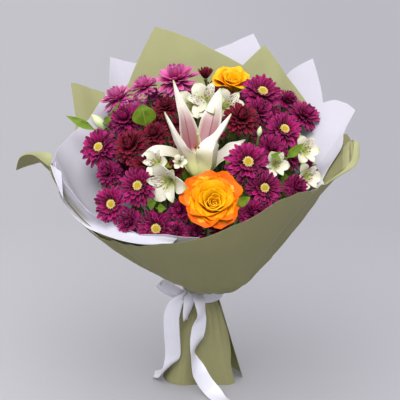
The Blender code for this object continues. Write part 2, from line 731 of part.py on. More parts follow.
def make_leaf(root, tip, width, bow):
    """A thin arched leaf that starts as a narrow stalk on its stem."""
    root = Vector(root)
    tip = Vector(tip)
    along = tip - root
    across = along.cross(Vector((0, 0.3, 1))).normalized()
    up = across.cross(along).normalized()
    widths = (1.6, 1.8, 0.72 * width, width, 0.62 * width, 1.2)
    places = (0.0, 0.22, 0.42, 0.62, 0.84, 1.0)
    bm = bmesh.new()
    rows = []
    for place, wide in zip(places, widths):
        middle = root + along * place + up * bow * math.sin(math.pi * place)
        fold = up * 0.12 * wide
        rows.append([bm.verts.new(middle + across * wide / 2 + fold), bm.verts.new(middle),
                     bm.verts.new(middle - across * wide / 2 + fold)])
    for low, high in zip(rows, rows[1:]):
        for i in range(2):
            bm.faces.new((low[i], low[i + 1], high[i + 1], high[i]))
    bmesh.ops.triangulate(bm, faces=bm.faces)
    return thicken(mesh_object("leaf", bm, materials["stem_green"]), LEAF_THICK)


def heads_of(spray):
    """The places where a spray's branches end, under its blooms, with their directions."""
    heads = []
    for spec in MUMS.values():
        if spec["spray"] == spray:
            axis = bloom_axis(spec)
            heads.append((Vector(spec["at"]) - axis * (0.17 * spec["radius"] + GAP), axis, 3.0))
    for spec in ALSTROS.values():
        if spec["spray"] == spray:
            axis = Vector(spec["axis"]).normalized()
            heads.append((Vector(spec["at"]) - axis * (0.45 * spec["radius"] + GAP), axis, 1.8))
    for name, spec in ROSES.items():
        if name == spray:
            axis = Vector(spec["axis"]).normalized()
            heads.append((Vector(spec["at"]) - axis * (0.58 * spec["radius"] + GAP), axis, 6.0))
    return heads


def ring_point(slot, height):
    """Where a stem of the spiral is at a height at or below the tie."""
    share = max(0.0, 1 - height / TIE_FOOT)
    radius = STEM_RING + (STEM_FOOT_RING - STEM_RING) * share
    turn = math.radians(slot - STEM_TWIST * share)
    return Vector((radius * math.cos(turn), radius * math.sin(turn), height))


def make_spray(number, spray):
    """A stem from the table through the tie, with a branch to each of its heads."""
    slot = FIRST_SLOT + 360 * number / len(SPRAYS)
    heads = heads_of(spray)
    middle = sum((place for place, axis, cup in heads), Vector()) / len(heads)
    above = ring_point(slot, STEM_TOP_OF_TIE)
    fork = above + (middle - above) * 0.35 + Vector(FORK_MOVES.get(spray, (0, 0, -3)))
    green = materials["stem_green"]
    points = [ring_point(slot, 0), ring_point(slot, TIE_FOOT * 0.5), ring_point(slot, TIE_FOOT),
              above, fork]
    size = STEM_RADIUS
    base = tube("stem_" + spray, points, (size, size, size, size, size * 0.9), 6, green)
    parts = []
    for place, axis, cup in heads:
        neck = place - axis * 16
        half = fork + (neck - fork) * 0.5 + Vector((0, 0, 4))
        start = fork + (above - fork).normalized() * 1.5
        parts.append(tube("branch", (start, half, neck, place),
                          (BRANCH + 0.3, BRANCH, BRANCH, cup), 4, green))
    if spray in BUDS:
        place, size = BUDS[spray]
        place = Vector(place)
        axis = (place - fork).normalized()
        half = fork + (place - fork) * 0.5 + Vector((0, 0, 4))
        parts.append(tube("bud", (fork, half, place, place + axis * size, place + axis * size * 2),
                          (BRANCH + 0.3, BRANCH, BRANCH, size * 0.5, 1), 4, green))
    for owner, root, tip, width, bow in LEAVES:
        if owner == spray:
            parts.append(make_leaf(root, tip, width, bow))
            parts.append(tube("stalk", (fork, root, Vector(root) + (Vector(tip) - Vector(root)) * 0.12),
                              (BRANCH, BRANCH * 0.8, BRANCH * 0.7), 4, green))
    return stand_on_table(join_solids(base, parts, solver="MANIFOLD"))


def make_lily_stem():
    axis = Vector(LILY_AXIS).normalized()
    top = Vector(LILY_FOOT) - axis * GAP
    turn = math.radians(FIRST_SLOT + 360 * SPRAYS.index("front") / len(SPRAYS))
    rest = Vector((math.cos(turn), math.sin(turn), 0)) * LILY_LEAN
    points = [Vector(), Vector((0, 0, STRAIGHT_FOOT)), rest + Vector((0, 0, TIE_FOOT)),
              rest + Vector((0, 0, TIE_TOP)), top - axis * 40, top]
    return stand_on_table(tube("stem_lily", points, (5.0, 5.0, 5.0, 4.8, 3.6, 4.0), 8,
                               materials["stem_green"]))


def strip(name, points, width, material):
    """A flat ribbon along points; each point carries the direction across it."""
    bm = bmesh.new()
    rows = []
    for place, across in points:
        half = Vector(across).normalized() * width / 2
        rows.append((bm.verts.new(Vector(place) - half), bm.verts.new(Vector(place) + half)))
    for low, high in zip(rows, rows[1:]):
        bm.faces.new((low[0], low[1], high[1], high[0]))
    bmesh.ops.triangulate(bm, faces=bm.faces)
    return thicken(mesh_object(name, bm, material), RIBBON_THICK)


def make_ribbon():
    """The satin ribbon: a band round the tie, its knot, one loop and two long tails."""
    satin = materials["white_satin"]
    sides = 14
    outermost = max(spec["layer"] for spec in PAPERS.values())
    radius = TIE_RADIUS + outermost * TIE_STEP + PAPER_THICK + GAP + RIBBON_THICK / 2
    radius /= math.cos(math.pi / sides)
    bm = bmesh.new()
    bmesh.ops.create_cone(bm, segments=sides, radius1=radius, radius2=radius, depth=BAND_WIDTH)
    middle_of_tie = (TIE_TOP + TIE_FOOT) / 2 + 0.5
    bmesh.ops.translate(bm, vec=(0, 0, middle_of_tie), verts=bm.verts)
    band = thicken(mesh_object("ribbon", bm, satin), RIBBON_THICK)
    bm = bmesh.new()
    bmesh.ops.create_uvsphere(bm, u_segments=8, v_segments=6, radius=1)
    bmesh.ops.scale(bm, vec=(9, 4.6, 8), verts=bm.verts)
    bmesh.ops.translate(bm, vec=(-13.5, -30.2, 133), verts=bm.verts)
    knot = mesh_object("knot", bm, satin)
    loop = strip("loop", [
        ((-14, -33, 132), (0, 0.2, 1)), ((-28, -36, 142), (0.3, 0, 1)),
        ((-46, -38, 147), (0.4, 0, 1)), ((-58, -38, 141), (0.3, -0.5, 0.5)),
        ((-54, -35, 131), (-0.1, -0.8, 0.5)), ((-36, -34, 126), (0, -0.5, 1)),
        ((-15, -32, 130), (0, 0, 1))], RIBBON_WIDTH * 0.5, satin)
    left = strip("tail", [
        ((-16, -34, 132), (1, 0, 0.6)), ((-30, -38, 120), (1, 0, 0.7)),
        ((-42, -38, 96), (1, 0, 0.25)), ((-52, -36, 66), (1, -0.1, 0.1)),
        ((-58, -34, 40), (1, -0.1, 0)), ((-63, -33, 16), (1, 0, 0)),
        ((-68, -32, 3), (1, -0.1, 0)), ((-74, -38, 0.4), (0.9, 0.3, 0))],
        RIBBON_WIDTH * 0.8, satin)
    middle = strip("tail", [
        ((-13, -35, 132), (1, 0, -0.3)), ((-4, -41, 122), (1, 0, -0.6)),
        ((2, -44, 104), (1, -0.2, -0.1)), ((-3, -46, 86), (1, -0.5, 0.3)),
        ((-11, -49, 68), (1, -0.3, 0.5)), ((-10, -52, 50), (1, -0.1, 0.3)),
        ((2, -55, 32), (1, 0, 0.5)), ((14, -59, 14), (1, -0.1, 0.6)),
        ((22, -62, 3), (1, -0.2, 0.1)), ((28, -72, 0.4), (1, 0.3, 0))],
        RIBBON_WIDTH * 0.88, satin)
    ribbon = join_solids(band, [knot, loop, left, middle], solver="MANIFOLD")
    return stand_on_table(ribbon, below=0.05)


def obstacle_tree(things):
    """All the faces of the given objects, in millimetres, for testing petals against."""
    points = []
    faces = []
    for thing in things:
        start = len(points)
        points += [vert.co / MM for vert in thing.data.vertices]
        faces += [[start + i for i in poly.vertices] for poly in thing.data.polygons]
    return BVHTree.FromPolygons(points, faces)


clear_scene()
bouquet = bpy.data.collections.new("bouquet")
bpy.context.scene.collection.children.link(bouquet)
materials = {name: make_material(name) for name in COLOURS}

pieces = [make_paper(name, spec) for name, spec in PAPERS.items()]
pieces += [make_spray(number, spray) for number, spray in enumerate(SPRAYS)]
pieces.append(make_lily_stem())
pieces.append(make_lily())
pieces.append(make_lily_stamens())
pieces += [make_rose(name, spec) for name, spec in ROSES.items()]
pieces += [make_alstroemeria(name, spec) for name, spec in ALSTROS.items()]
others = obstacle_tree(pieces)
make_ribbon()
for name, spec in MUMS.items():
    make_mum(name, spec, others)
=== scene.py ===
"""How the hand-tied bouquet looks: papers, ribbon, stems and every bloom in full petal.

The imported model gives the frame, and each piece here stands where its solid stands.
Lengths are millimetres and angles degrees, unless a comment says otherwise.
"""
import math
import random
from functools import partial

import bmesh
import bpy
from mathutils import Matrix, Vector, noise
from mathutils.bvhtree import BVHTree


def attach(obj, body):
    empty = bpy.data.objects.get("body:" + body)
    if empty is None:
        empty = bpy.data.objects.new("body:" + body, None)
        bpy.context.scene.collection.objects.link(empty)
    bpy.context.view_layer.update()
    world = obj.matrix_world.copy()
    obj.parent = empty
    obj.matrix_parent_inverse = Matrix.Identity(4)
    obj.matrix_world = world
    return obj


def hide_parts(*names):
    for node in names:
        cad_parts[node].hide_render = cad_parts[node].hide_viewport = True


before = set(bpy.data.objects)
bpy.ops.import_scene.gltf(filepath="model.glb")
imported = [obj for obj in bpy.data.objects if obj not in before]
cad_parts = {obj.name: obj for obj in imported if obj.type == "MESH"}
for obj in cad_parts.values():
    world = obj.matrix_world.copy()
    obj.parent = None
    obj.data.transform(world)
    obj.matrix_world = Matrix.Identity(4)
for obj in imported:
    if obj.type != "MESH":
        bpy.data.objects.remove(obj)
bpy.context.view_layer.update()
MM = 0.001
chance = random.Random(11)

# The photograph's camera: 18 degrees up, straight from the front, in metres.
AIM = Vector((-0.004, 0, 0.27))
DISTANCE = 1.8
ELEVATION = 18
LENS = 115.7
# the backdrop's colours at the left and right, near the bouquet and far behind it, with painted light:
# lighter at the left and at the front
FLOOR_NEAR = ("#B6B5B9", "#AEADB3")
FLOOR_FAR = ("#A9A8AC", "#A1A0A6")
WORLD_LIGHT = 0.66
OVERHEAD_LIGHT = 1.2
FRONT_LIGHT = 2.5
FLOOR_LIGHT = 1.65

# The tie and the foot.
TIE_TOP = 143
TIE_FOOT = 124
TIE_RADIUS = 20.1
FOOT_HALF_WIDTH = 57
FOOT_HALF_DEPTH = 38
FOOT_LAYERS = 0.3
SLEEVE_FLARE = 1.05

# The papers' wall: how steeply it stands, in degrees from upright, at distances up from the
# tie, for eight directions round the bouquet (0 right, 90 back, 270 front).
PAPER_THICK = 0.35
TIE_STEP = 1.6
LAYER_STEP = 3.0
SPREAD_OVER = 70
WALL_STEP = 6
FLAT_SLEEVE = 120
LEAN_AT = (0, 22, 45, 70, 120, 170, 230, 300, 400)
LEANS = {
    0: (50, 74, 52, 32, 35, 35, 43, 35, 25),
    45: (0, 46, 44, 40, 34, 28, 24, 20, 18),
    90: (0, 34, 34, 32, 28, 24, 20, 16, 14),
    135: (0, 50, 48, 44, 38, 30, 24, 20, 18),
    180: (0, 62, 62, 60, 58, 46, 26, 21, 18),
    225: (10, 56, 56, 48, 40, 34, 29, 26, 24),
    270: (45, 66, 56, 42, 36, 32, 30, 28, 26),
    315: (50, 74, 52, 31, 33, 33, 34, 30, 28),
}

# Each paper: its layer from the inside, its upper edge as (direction, distance up the wall),
# the flat size that it is cut to (metres), its cut area (square metres), and for two of them
# the directions that the sleeve below the tie covers.
PAPERS = {
    "white_paper_left": dict(layer=0, flat=(0.45, 0.34), area=0.064, edge=(
        (136, 311), (142, 299), (152, 282), (161, 278), (173, 276), (184, 275), (190, 254),
        (199, 200), (213, 160), (230, 158), (251, 168), (268, 171))),
    "green_paper_back": dict(layer=1, flat=(0.37, 0.51), area=0.088, sleeve=(-10, 190), edge=(
        (32, 290), (46, 320), (60, 359), (69, 323), (85, 341), (99, 361), (112, 383),
        (120, 344), (128, 303))),
    "white_paper_right": dict(layer=2, flat=(0.45, 0.36), area=0.056, edge=(
        (-48, 214), (-39, 212), (-26, 224), (-18, 222), (-10, 220), (-4, 221), (0, 232),
        (4, 243), (8, 262), (11, 272), (14.2, 280), (15.2, 291), (15.5, 317), (19, 318), (23, 314),
        (27, 302), (37, 355), (46, 328), (53, 300))),
    "white_paper_back": dict(layer=2, flat=(0.31, 0.38), area=0.056, edge=(
        (57, 330), (66, 372), (76, 352), (86, 338), (99, 328), (110, 330), (122, 338),
        (132, 355), (136, 320))),
    "green_paper_left": dict(layer=3, flat=(0.45, 0.35), area=0.050, edge=(
        (139, 307), (152, 340), (155, 288), (160, 258), (168, 258), (174, 266), (182, 270),
        (187, 256), (191, 226), (195, 196), (199, 172), (206, 148), (221, 139), (240, 142))),
    "green_paper_right": dict(layer=3, flat=(0.31, 0.30), area=0.037, edge=(
        (-41, 222), (-27, 224), (-20, 236), (-14, 254), (-9, 266), (0, 276), (7, 282),
        (14, 284), (21, 262))),
    "green_paper_front": dict(layer=4, flat=(0.50, 0.42), area=0.067, sleeve=(186, 322), swing=17, edge=(
        (189, 198), (196, 174), (204, 148), (217, 142), (232, 149), (253, 167), (271, 187),
        (282, 206), (290, 213), (296, 222), (303, 241), (311, 250), (318, 246), (324, 238),
        (332, 241), (340, 234), (346, 196))),
}
# Creases up the papers: direction at the tie, slant, half width in degrees, height.
CREASES = (
    (-38, 4, 9, -4.0), (-22, 5, 7, 5.0), (-6, 3, 8, -4.5), (10, 2, 9, 5.5), (29, -2, 8, -4.0),
    (44, 2, 7, 3.5), (60, -3, 10, -4.0), (80, 1, 11, 3.4), (96, 2, 8, -3.0), (112, -2, 10, 3.4),
    (128, 3, 7, -3.6), (146, -1, 7, 5.5), (157, 2, 6, -3.6), (171, -3, 8, 4.5), (184, -2, 7, -5.0),
    (197, 2, 7, 4.2), (212, -4, 9, -3.0), (226, 2, 8, 2.2), (243, 3, 9, -1.6), (275, 2, 12, 1.4),
    (303, -2, 9, -2.0),
)
# Corners and rims that are folded over, as rows of places across each fold.
FLAPS = {
    "white_paper_left": (
        # the corner that is folded over, from the rim to its point
        (((-189.6, -52, 288.7), (-200.2, -42, 310.9), (-208.3, -30, 331.0)),
         ((-190.8, -47, 305.1), (-196.1, -42, 316.0), (-200.2, -36, 327.9)),
         ((-192.0, -41, 319.5), (-192.2, -40, 321.3), (-192.5, -39, 322.8))),
        # the rim that is turned out over the green paper: the direction where it leaves the
        # wall, the crest and the edge
        ((182, (-198.3, -16, 289.9), (-200.1, -18, 289.8)),
         (187, (-193.4, -20, 279.4), (-195.4, -23, 278.9)),
         (190, (-183.2, -28, 270.3), (-185.6, -31, 267.6)),
         (194, (-171.6, -34, 261.2), (-176.7, -38, 257.3)),
         (198, (-162.8, -40, 255.8), (-167.9, -44, 251.9)),
         (202, (-154.1, -46, 252.6), (-159.2, -50, 246.5)),
         (209, (-132.6, -60, 250.2), (-142.0, -61, 242.7)),
         (216, (-115.3, -76, 250.5), (-124.7, -76, 241.7)),
         (223, (-99.8, -90, 250.7), (-107.7, -90, 241.5)),
         (231, (-83.2, -102, 251.6), (-85.7, -106, 243.2)),
         (239, (-69.6, -112, 252.7), (-69.4, -117, 246.3)),
         (247, (-53.6, -121, 252.6), (-53.5, -124, 249.8)),
         (256, (-39.1, -127, 252.4), (-39.1, -129, 251.9)))),
    "green_paper_left": (
        # the corner that rolls over, from its far edge to its crest
        (((-209.1, 6, 335.8), (-211.1, -8, 319.7)),
         ((-219.4, 10, 336.2), (-217.6, -14, 327.5)),
         ((-228.1, 12, 336.3), (-225.1, -18, 335.5)),
         ((-235.8, 12, 336.5), (-231.7, -20, 340.8)),
         ((-244.2, 11, 335.9), (-240.2, -19, 341.6)),
         ((-251.6, 9, 333.3), (-248.6, -15, 337.8)),
         ((-256.1, 5, 328.0), (-254.3, -10, 330.7)),
         ((-259.2, 1, 315.0), (-259.3, -1, 315.2))),
        # and from the crest to the edge that is tucked under
        (((-211.1, -8, 319.7), (-212.3, -6, 314.1)),
         ((-217.6, -14, 327.5), (-219.1, -9, 322.3)),
         ((-225.1, -18, 335.5), (-224.9, -6, 326.4)),
         ((-231.7, -20, 340.8), (-234.3, 0, 322.3)),
         ((-240.2, -19, 341.6), (-243.2, 4, 318.8)),
         ((-248.6, -15, 337.8), (-251.6, 4, 315.8)),
         ((-254.3, -10, 330.7), (-256.3, 2, 314.3)),
         ((-259.3, -1, 315.2), (-259.5, 0, 313.6)))),
    "green_paper_right": (
        # the outer edge, folded in towards the flowers: where it leaves the wall, the fold
        # and the free edge
        ((9, (209.6, 15, 353.2), (209.2, 13, 353.0)),
         (5, (215.0, 2, 352.4), (208.0, -4, 351.8)),
         (0, (215.4, -8, 344.0), (206.0, -17, 345.4)),
         (-6, (213.6, -20, 336.1), (202.5, -30, 338.0)),
         (-11, (205.7, -38, 329.5), (193.4, -45, 331.4)),
         (-16, (189.7, -52, 324.3), (181.0, -59, 324.2)),
         (-21, (167.8, -68, 315.6), (166.0, -71, 318.0))),),
}
BELLY = 2.0
# Creases down the sleeve: direction, half width in degrees, height.
SLEEVE_CREASES = ((243, 8, 1.8), (258, 9, -1.6), (284, 12, 1.4), (300, 8, -1.2), (350, 10, 1.5))
PAPER_COLUMN = 2.0          # degrees from one line of points to the next
WALL_ROWS = 34
SLEEVE_ROWS = 12

# The stems.
STEM_RING = 15.5
STEM_FOOT_RING = 27
STEM_TWIST = 50
STEM_TOP_OF_TIE = 156
STEM_RADIUS = 4.15
CUT_TILT = 0.8              # how far a slanting stem's cut end leans into the table otherwise
LILY_LEAN = 5.9
STRAIGHT_FOOT = 20
BRANCH = 1.6
FIRST_SLOT = 20
SPRAYS = ("back_right", "rose_back", "alstro_left", "back_left", "left", "front_left",
          "front", "rose_front", "front_right", "alstro_right", "right")
FORK_SHARE = 0.35           # how far from the tie to its blooms a stem forks
FORK_MOVES = {"alstro_right": (0, -13, -12)}
BUDS = {
    "alstro_left": ((-138, 45, 361), 14),
    "alstro_right": ((76, -20, 368), 7),
}
# Leaves: the spray they grow from, root, tip and widest width.
LEAVES = (
    ("back_left", (-77, 6, 371), (-84, -4, 409), 34),
    ("alstro_left", (-148, 36, 360), (-191, 30, 384), 12),
    ("alstro_left", (-136, 40, 366), (-116, 34, 403), 7),
    ("alstro_left", (-140, 36, 372), (-128, 24, 384), 9),
    ("front_left", (-76, -70, 285), (-62, -100, 299), 16),
    ("front_left", (-62, -84, 286), (-49, -104, 292), 12),
    ("rose_front", (43, -97, 293), (62, -113, 311), 13),
    ("alstro_right", (112, -30, 338), (136, -42, 364), 13),
    ("alstro_right", (114, -30, 340), (91, -50, 350), 13),
)

# The blooms: middle, radius, and how far the face is turned to the viewer or the way it
# faces, with the spray that each grows from.
VIEWER = Vector((0, -math.cos(math.radians(ELEVATION)), math.sin(math.radians(ELEVATION))))
FOCUS = Vector((0, 60, 190))
UP = Vector((0, 0, 1))


def numbered(name, columns, rows):
    """The rows of a table as records under numbered names."""
    return {name % (k + 1): dict(zip(columns.split(), row)) for k, row in enumerate(rows)}


MUMS = numbered("mum_%02d", "at radius turn spray tint form", (
    ((-143, 5, 344), 29, 1.1, "left", "magenta", "open"),
    ((-87, -63, 310), 28, 1.2, "front_left", "magenta", "open"),
    ((-123, -57, 282), 28, 1.0, "front_left", "magenta", "open"),
    ((-62, -88, 258), 29, 1.0, "front", "magenta", "open"),
    ((-120, 78, 394), 27, 0.15, "back_left", "pink", "double"),
    ((-82, 72, 413), 24, 0.1, "back_left", "pink", "double"),
    ((-37, 70, 423), 34, 0.2, "back_left", "pink", "double"),
    ((-106, 22, 380), 26, 0.5, "left", "magenta", "double"),
    ((-97, -22, 353), 27, 0.6, "left", "burgundy", "double"),
    ((-66, -10, 367), 20, 0.6, "left", "burgundy", "double"),
    ((-128, -26, 317), 20, 0.7, "front_left", "magenta", "double"),
    ((-98, -73, 262), 20, 0.7, "front_left", "magenta", "double"),
    ((-34, -96, 254), 18, 0.8, "front", "magenta", "double"),
    ((84, 70, 407), 31, 1.0, "back_right", "magenta", "open"),
    ((77, 26, 389), 22, 0.9, "back_right", "magenta", "double"),
    ((112, 14, 367), 29, 0.8, "right", "magenta", "open"),
    ((144, 77, 371), 26, 0.5, "back_right", "magenta", "double"),
    ((52, 2, 385), 27, 0.5, "back_right", "burgundy", "double"),
    ((60, -50, 339), 31, 1.1, "front_right", "magenta", "open"),
    ((82, -64, 307), 27, 1.1, "front_right", "magenta", "open"),
    ((68, -84, 277), 23, 0.9, "front_right", "magenta", "double"),
    ((92, -18, 349), 22, 0.9, "right", "magenta", "double"),
    ((127, -36, 300), 19, 0.8, "right", "magenta", "double"),
    ((-78, -44, 336), 23, 0.9, "front_left", "burgundy", "double"),
    ((-50, 16, 398), 19, 0.4, "back_left", "burgundy", "double"),
    ((4, 84, 425), 18, 0.1, "back_left", "burgundy", "bud"),
    ((121, 100, 387), 21, 0.3, "back_right", "magenta", "double"),
))
ROSES = {
    "rose_front": dict(at=(10.5, -88, 300), axis=(0.03, -0.78, 0.62), radius=42, petals=32, opening=54,
                       lobe=(38, 60, 1.02), spray="rose_front", finish="rose_orange"),
    "rose_back": dict(at=(43, 94, 419), axis=(0.05, -0.42, 0.9), radius=31, petals=20, opening=44,
                      lobe=(200, 50, 1.0), spray="rose_back", finish="rose_yellow"),
}
ALSTROS = numbered("alstroemeria_%02d", "at axis radius spray", (
    ((3, 32, 405), (-0.1, -0.8, 0.5), 30, "alstro_left"),
    ((36, 40, 396), (0.5, -0.6, 0.5), 27, "alstro_left"),
    ((-48, -78, 319), (-0.4, -0.9, -0.1), 31, "alstro_left"),
    ((143, 2, 342), (0.4, -0.85, 0.4), 22, "alstro_right"),
    ((99, -42, 334), (0.2, -0.9, 0.3), 20, "alstro_right"),
    ((145, -12, 308), (0.4, -0.75, 0.2), 22, "alstro_right"),
))
# Smaller flowers of the same sprays, which the solids leave out.
ALSTROS_ADDED = numbered("alstroemeria_side_%02d", "at axis radius spray", (
    ((-17, 30, 397), (-0.2, -0.8, 0.5), 26, "alstro_left"),
    ((-64, -62, 343), (-0.5, -0.8, 0.3), 20, "alstro_left"),
    ((-31, -77, 348), (0.1, -0.85, 0.5), 11, "alstro_left"),
    ((128, 16, 351), (0.0, -0.5, 0.85), 16, "alstro_right"),
))
ALL_ALSTROS = {**ALSTROS, **ALSTROS_ADDED}
# The lily's tepals: steps to the right of its foot, up the view, towards the viewer, width.
LILY_FOOT = (-5, -24, 300)
LILY_AXIS = (-0.02, -0.35, 0.94)
TEPALS = (
    ((9, 56, 0, 30), (17, 92, -4, 26), (24, 118, -10, 15), (29, 134, -14, 0)),
    ((-10, 52, 6, 28), (-18, 90, 12, 19), (-28, 118, 13, 9), (-35.5, 143, 10, 0)),
    ((-24, 38, 14, 24), (-48, 46, 27, 22), (-69, 42, 32, 14), (-81, 33, 34, 0)),
    ((-13, 32, 26, 24), (-20, 45, 32, 20), (-27, 57, 38, 14), (-37, 77, 42, 7.5), (-46.5, 97, 42, 0)),
    ((10, 28, 28, 26), (11, 49, 36, 32), (20, 62, 38, 15), (32, 78, 38, 9), (43, 95, 34, 0)),
    ((24, 36, 6, 27), (43, 50, 10, 24), (63, 62, 4, 0)),
)
KEELS = (0.42, 0.42, 0.5, 0.46, 0.85, 0.5)
BLUSHES = (1.0, 1.0, 0.1, 0.15, 0.0, 0.2)


def colour(text):
    """An sRGB hex colour as linear red, green, blue and alpha."""
    parts = [int(text[i:i + 2], 16) / 255 for i in (1, 3, 5)]
    return (*[p / 12.92 if p <= 0.04045 else ((p + 0.055) / 1.055) ** 2.4 for p in parts], 1)


def add_node(tree, kind, *values, named=None, stops=(), out="", **settings):
    """Add a node with its settings, set or link its inputs, and give back an output.

    Values fill the open inputs in order and named ones by name: numbers, hex colours or other
    nodes' outputs. Stops are the (place, hex colour) pairs of a colour ramp.
    """
    node = tree.nodes.new("ShaderNode" + kind)
    for setting, value in settings.items():
        setattr(node, setting, value)
    given = list(zip([socket for socket in node.inputs if socket.enabled], values))
    given += [(node.inputs[key], value) for key, value in (named or {}).items()]
    for socket, value in given:
        if isinstance(value, bpy.types.NodeSocket):
            tree.links.new(value, socket)
        else:
            socket.default_value = colour(value) if isinstance(value, str) else value
    if stops:
        elements = node.color_ramp.elements
        while len(elements) < len(stops):
            elements.new(0.5)
        for element, (place, text) in zip(elements, stops):
            element.position = place
            element.color = colour(text)
    return next(socket for socket in node.outputs if socket.enabled and out in ("", socket.name))


def start_material(name, **shader):
    """A new material with plain values on its shader, and the call that adds its nodes."""
    material = bpy.data.materials.new(name)
    material.use_nodes = True
    inputs = material.node_tree.nodes["Principled BSDF"].inputs
    for key, value in shader.items():
        inputs[key.replace("_", " ")].default_value = value
    return material, partial(add_node, material.node_tree)


def end_material(material, base, height=None, depth=0.0):
    """Link the base colour, and raise the surface by a height pattern, depth metres deep."""
    tree = material.node_tree
    inputs = tree.nodes["Principled BSDF"].inputs
    tree.links.new(base, inputs["Base Color"])
    if height:
        relief = add_node(tree, "Bump", named={"Height": height, "Distance": depth, "Strength": 1.0})
        tree.links.new(relief, inputs["Normal"])
    return material


def petal_map(add):
    """A petal's own map: across it, along it from root to tip, and away from its middle."""
    uv = add("UVMap")
    parts = add("SeparateXYZ", uv).node.outputs
    side = add("Math", add("Math", parts["X"], 0.5, operation="SUBTRACT"), operation="ABSOLUTE")
    return dict(uv=uv, across=parts["X"], along=parts["Y"], side=side)


def petal_material(name, stops, edge, tones):
    """Living mum petal, matte and grooved, in its own colour with painted shade at the root and in the
    grooves and painted highlights on the edges and tip.

    Each petal has a tone of its own between the two that are given.
    """
    material, add = start_material(
        name, Roughness=0.55, Subsurface_Weight=0.06, Subsurface_Scale=0.0012,
        Specular_IOR_Level=0.16)
    own = petal_map(add)
    tone = add("Attribute", out="Fac", attribute_name="tone")
    # from root to tip: the petal's own colour, with painted shade near black at the root deep in the bloom
    # and painted light at the tip
    body = add("ValToRGB", own["along"], stops=stops)
    toned = add("Mix", tone, *tones, data_type="RGBA")
    body = add("Mix", 1.0, body, toned, data_type="RGBA", blend_type="MULTIPLY")
    # painted highlight along the edges, strongest towards the tip
    side = add("Math", add("Math", own["side"], 2.0, operation="MULTIPLY"), 4.0, operation="POWER")
    side = add("Math", side, own["along"], operation="MULTIPLY")
    edge_highlight = add("Math", side, 0.5, operation="MULTIPLY")
    body = add("Mix", edge_highlight, body, edge, data_type="RGBA")
    # four grooves, 1.5 mm apart, across a petal about 6 mm wide; their colour is pulled towards the root's
    # dark as painted shade
    grooves = add("Math", add("Math", own["across"], 25.0, operation="MULTIPLY"), operation="COSINE")
    shade = add("Math", add("Math", grooves, 1.0, operation="ADD"), 0.11, operation="MULTIPLY")
    body = add("Mix", shade, body, stops[0][1], data_type="RGBA")
    return end_material(material, body, grooves, 0.00025)


def paper_material(name, body, shade, fibre):
    """Matte wrapping paper that lets some light through: short fibres show as faint flecks."""
    material, add = start_material(
        name, Roughness=0.75, Specular_IOR_Level=0.25, Subsurface_Weight=0.35,
        Subsurface_Scale=0.0015, Subsurface_Radius=(1.0, 1.0, 0.9))
    place = add("TexCoord", out="Object")
    # clouds in the pulp about 110 mm wide, and flecks of fibre under 2 mm
    cloud = add("TexNoise", place, 9.0, 3.0)
    pulp = add("TexNoise", place, 600.0, 4.0)
    flecks = add("Math", add("Math", pulp, 0.55, operation="SUBTRACT"), 0.9, operation="MULTIPLY")
    flecks = add("Math", flecks, 0.0, operation="MAXIMUM")
    base = add("Mix", cloud, body, shade, data_type="RGBA")
    base = add("Mix", flecks, base, fibre, data_type="RGBA")
    return end_material(material, base, pulp, 0.0001)


def satin_material():
    """Woven polyester satin: long warp floats give a soft sheen along the ribbon."""
    material, add = start_material(
        "white_satin_ribbon", Roughness=0.36, Sheen_Weight=0.3, Sheen_Roughness=0.3,
        Specular_IOR_Level=0.55)
    # threads every 0.22 mm across a 22 mm ribbon
    warp = add("TexNoise", add("Mapping", add("UVMap"), named={"Scale": (100, 12, 1)}), 1.0)
    base = add("Mix", warp, "#D8D7E0", "#C8C7D2", data_type="RGBA")
    return end_material(material, base, warp, 0.00008)


def stem_material():
    """Fresh cut stem: smooth green rind with fine ribs and paler patches."""
    material, add = start_material("stem_green", Roughness=0.42)
    # ribs 2 mm apart and 50 mm long
    ribs = add("Mapping", add("TexCoord", out="Object"), named={"Scale": (500, 500, 20)})
    ribs = add("TexNoise", ribs, 1.0)
    base = add("ValToRGB", ribs, stops=((0.3, "#2F4A16"), (0.55, "#4C7022"), (0.8, "#7A9A48")))
    return end_material(material, base, ribs, 0.0003)


def leaf_material():
    """A waxy green leaf: its pale midrib and side veins stand out a little."""
    material, add = start_material("leaf_green", Roughness=0.38, Subsurface_Weight=0.08,
                                   Subsurface_Scale=0.001)
    own = petal_map(add)
    rib = add("Math", own["side"], 0.025, operation="LESS_THAN")
    # side veins 3 mm apart on a leaf 35 mm long, slanting up and outwards
    slant = add("Math", own["side"], 0.7, operation="MULTIPLY")
    slant = add("Math", own["along"], slant, operation="SUBTRACT")
    comb = add("Math", add("Math", slant, 75.0, operation="MULTIPLY"), operation="SINE")
    comb = add("Math", add("Math", comb, 0.8, operation="SUBTRACT"), 2.0, operation="MULTIPLY")
    veins = add("Math", add("Math", rib, comb, operation="MAXIMUM"), 0.0, operation="MAXIMUM")
    # patches of darker green about 11 mm wide
    cloud = add("TexNoise", add("TexCoord", out="Object"), 90.0)
    base = add("ValToRGB", cloud, stops=((0.3, "#5A7E12"), (0.7, "#88A82A")))
    pale = add("Math", veins, 0.5, operation="MULTIPLY")
    base = add("Mix", pale, base, "#B4C468", data_type="RGBA")
    height = add("Math", 1.0, veins, operation="SUBTRACT")
    return end_material(material, base, height, 0.0003)


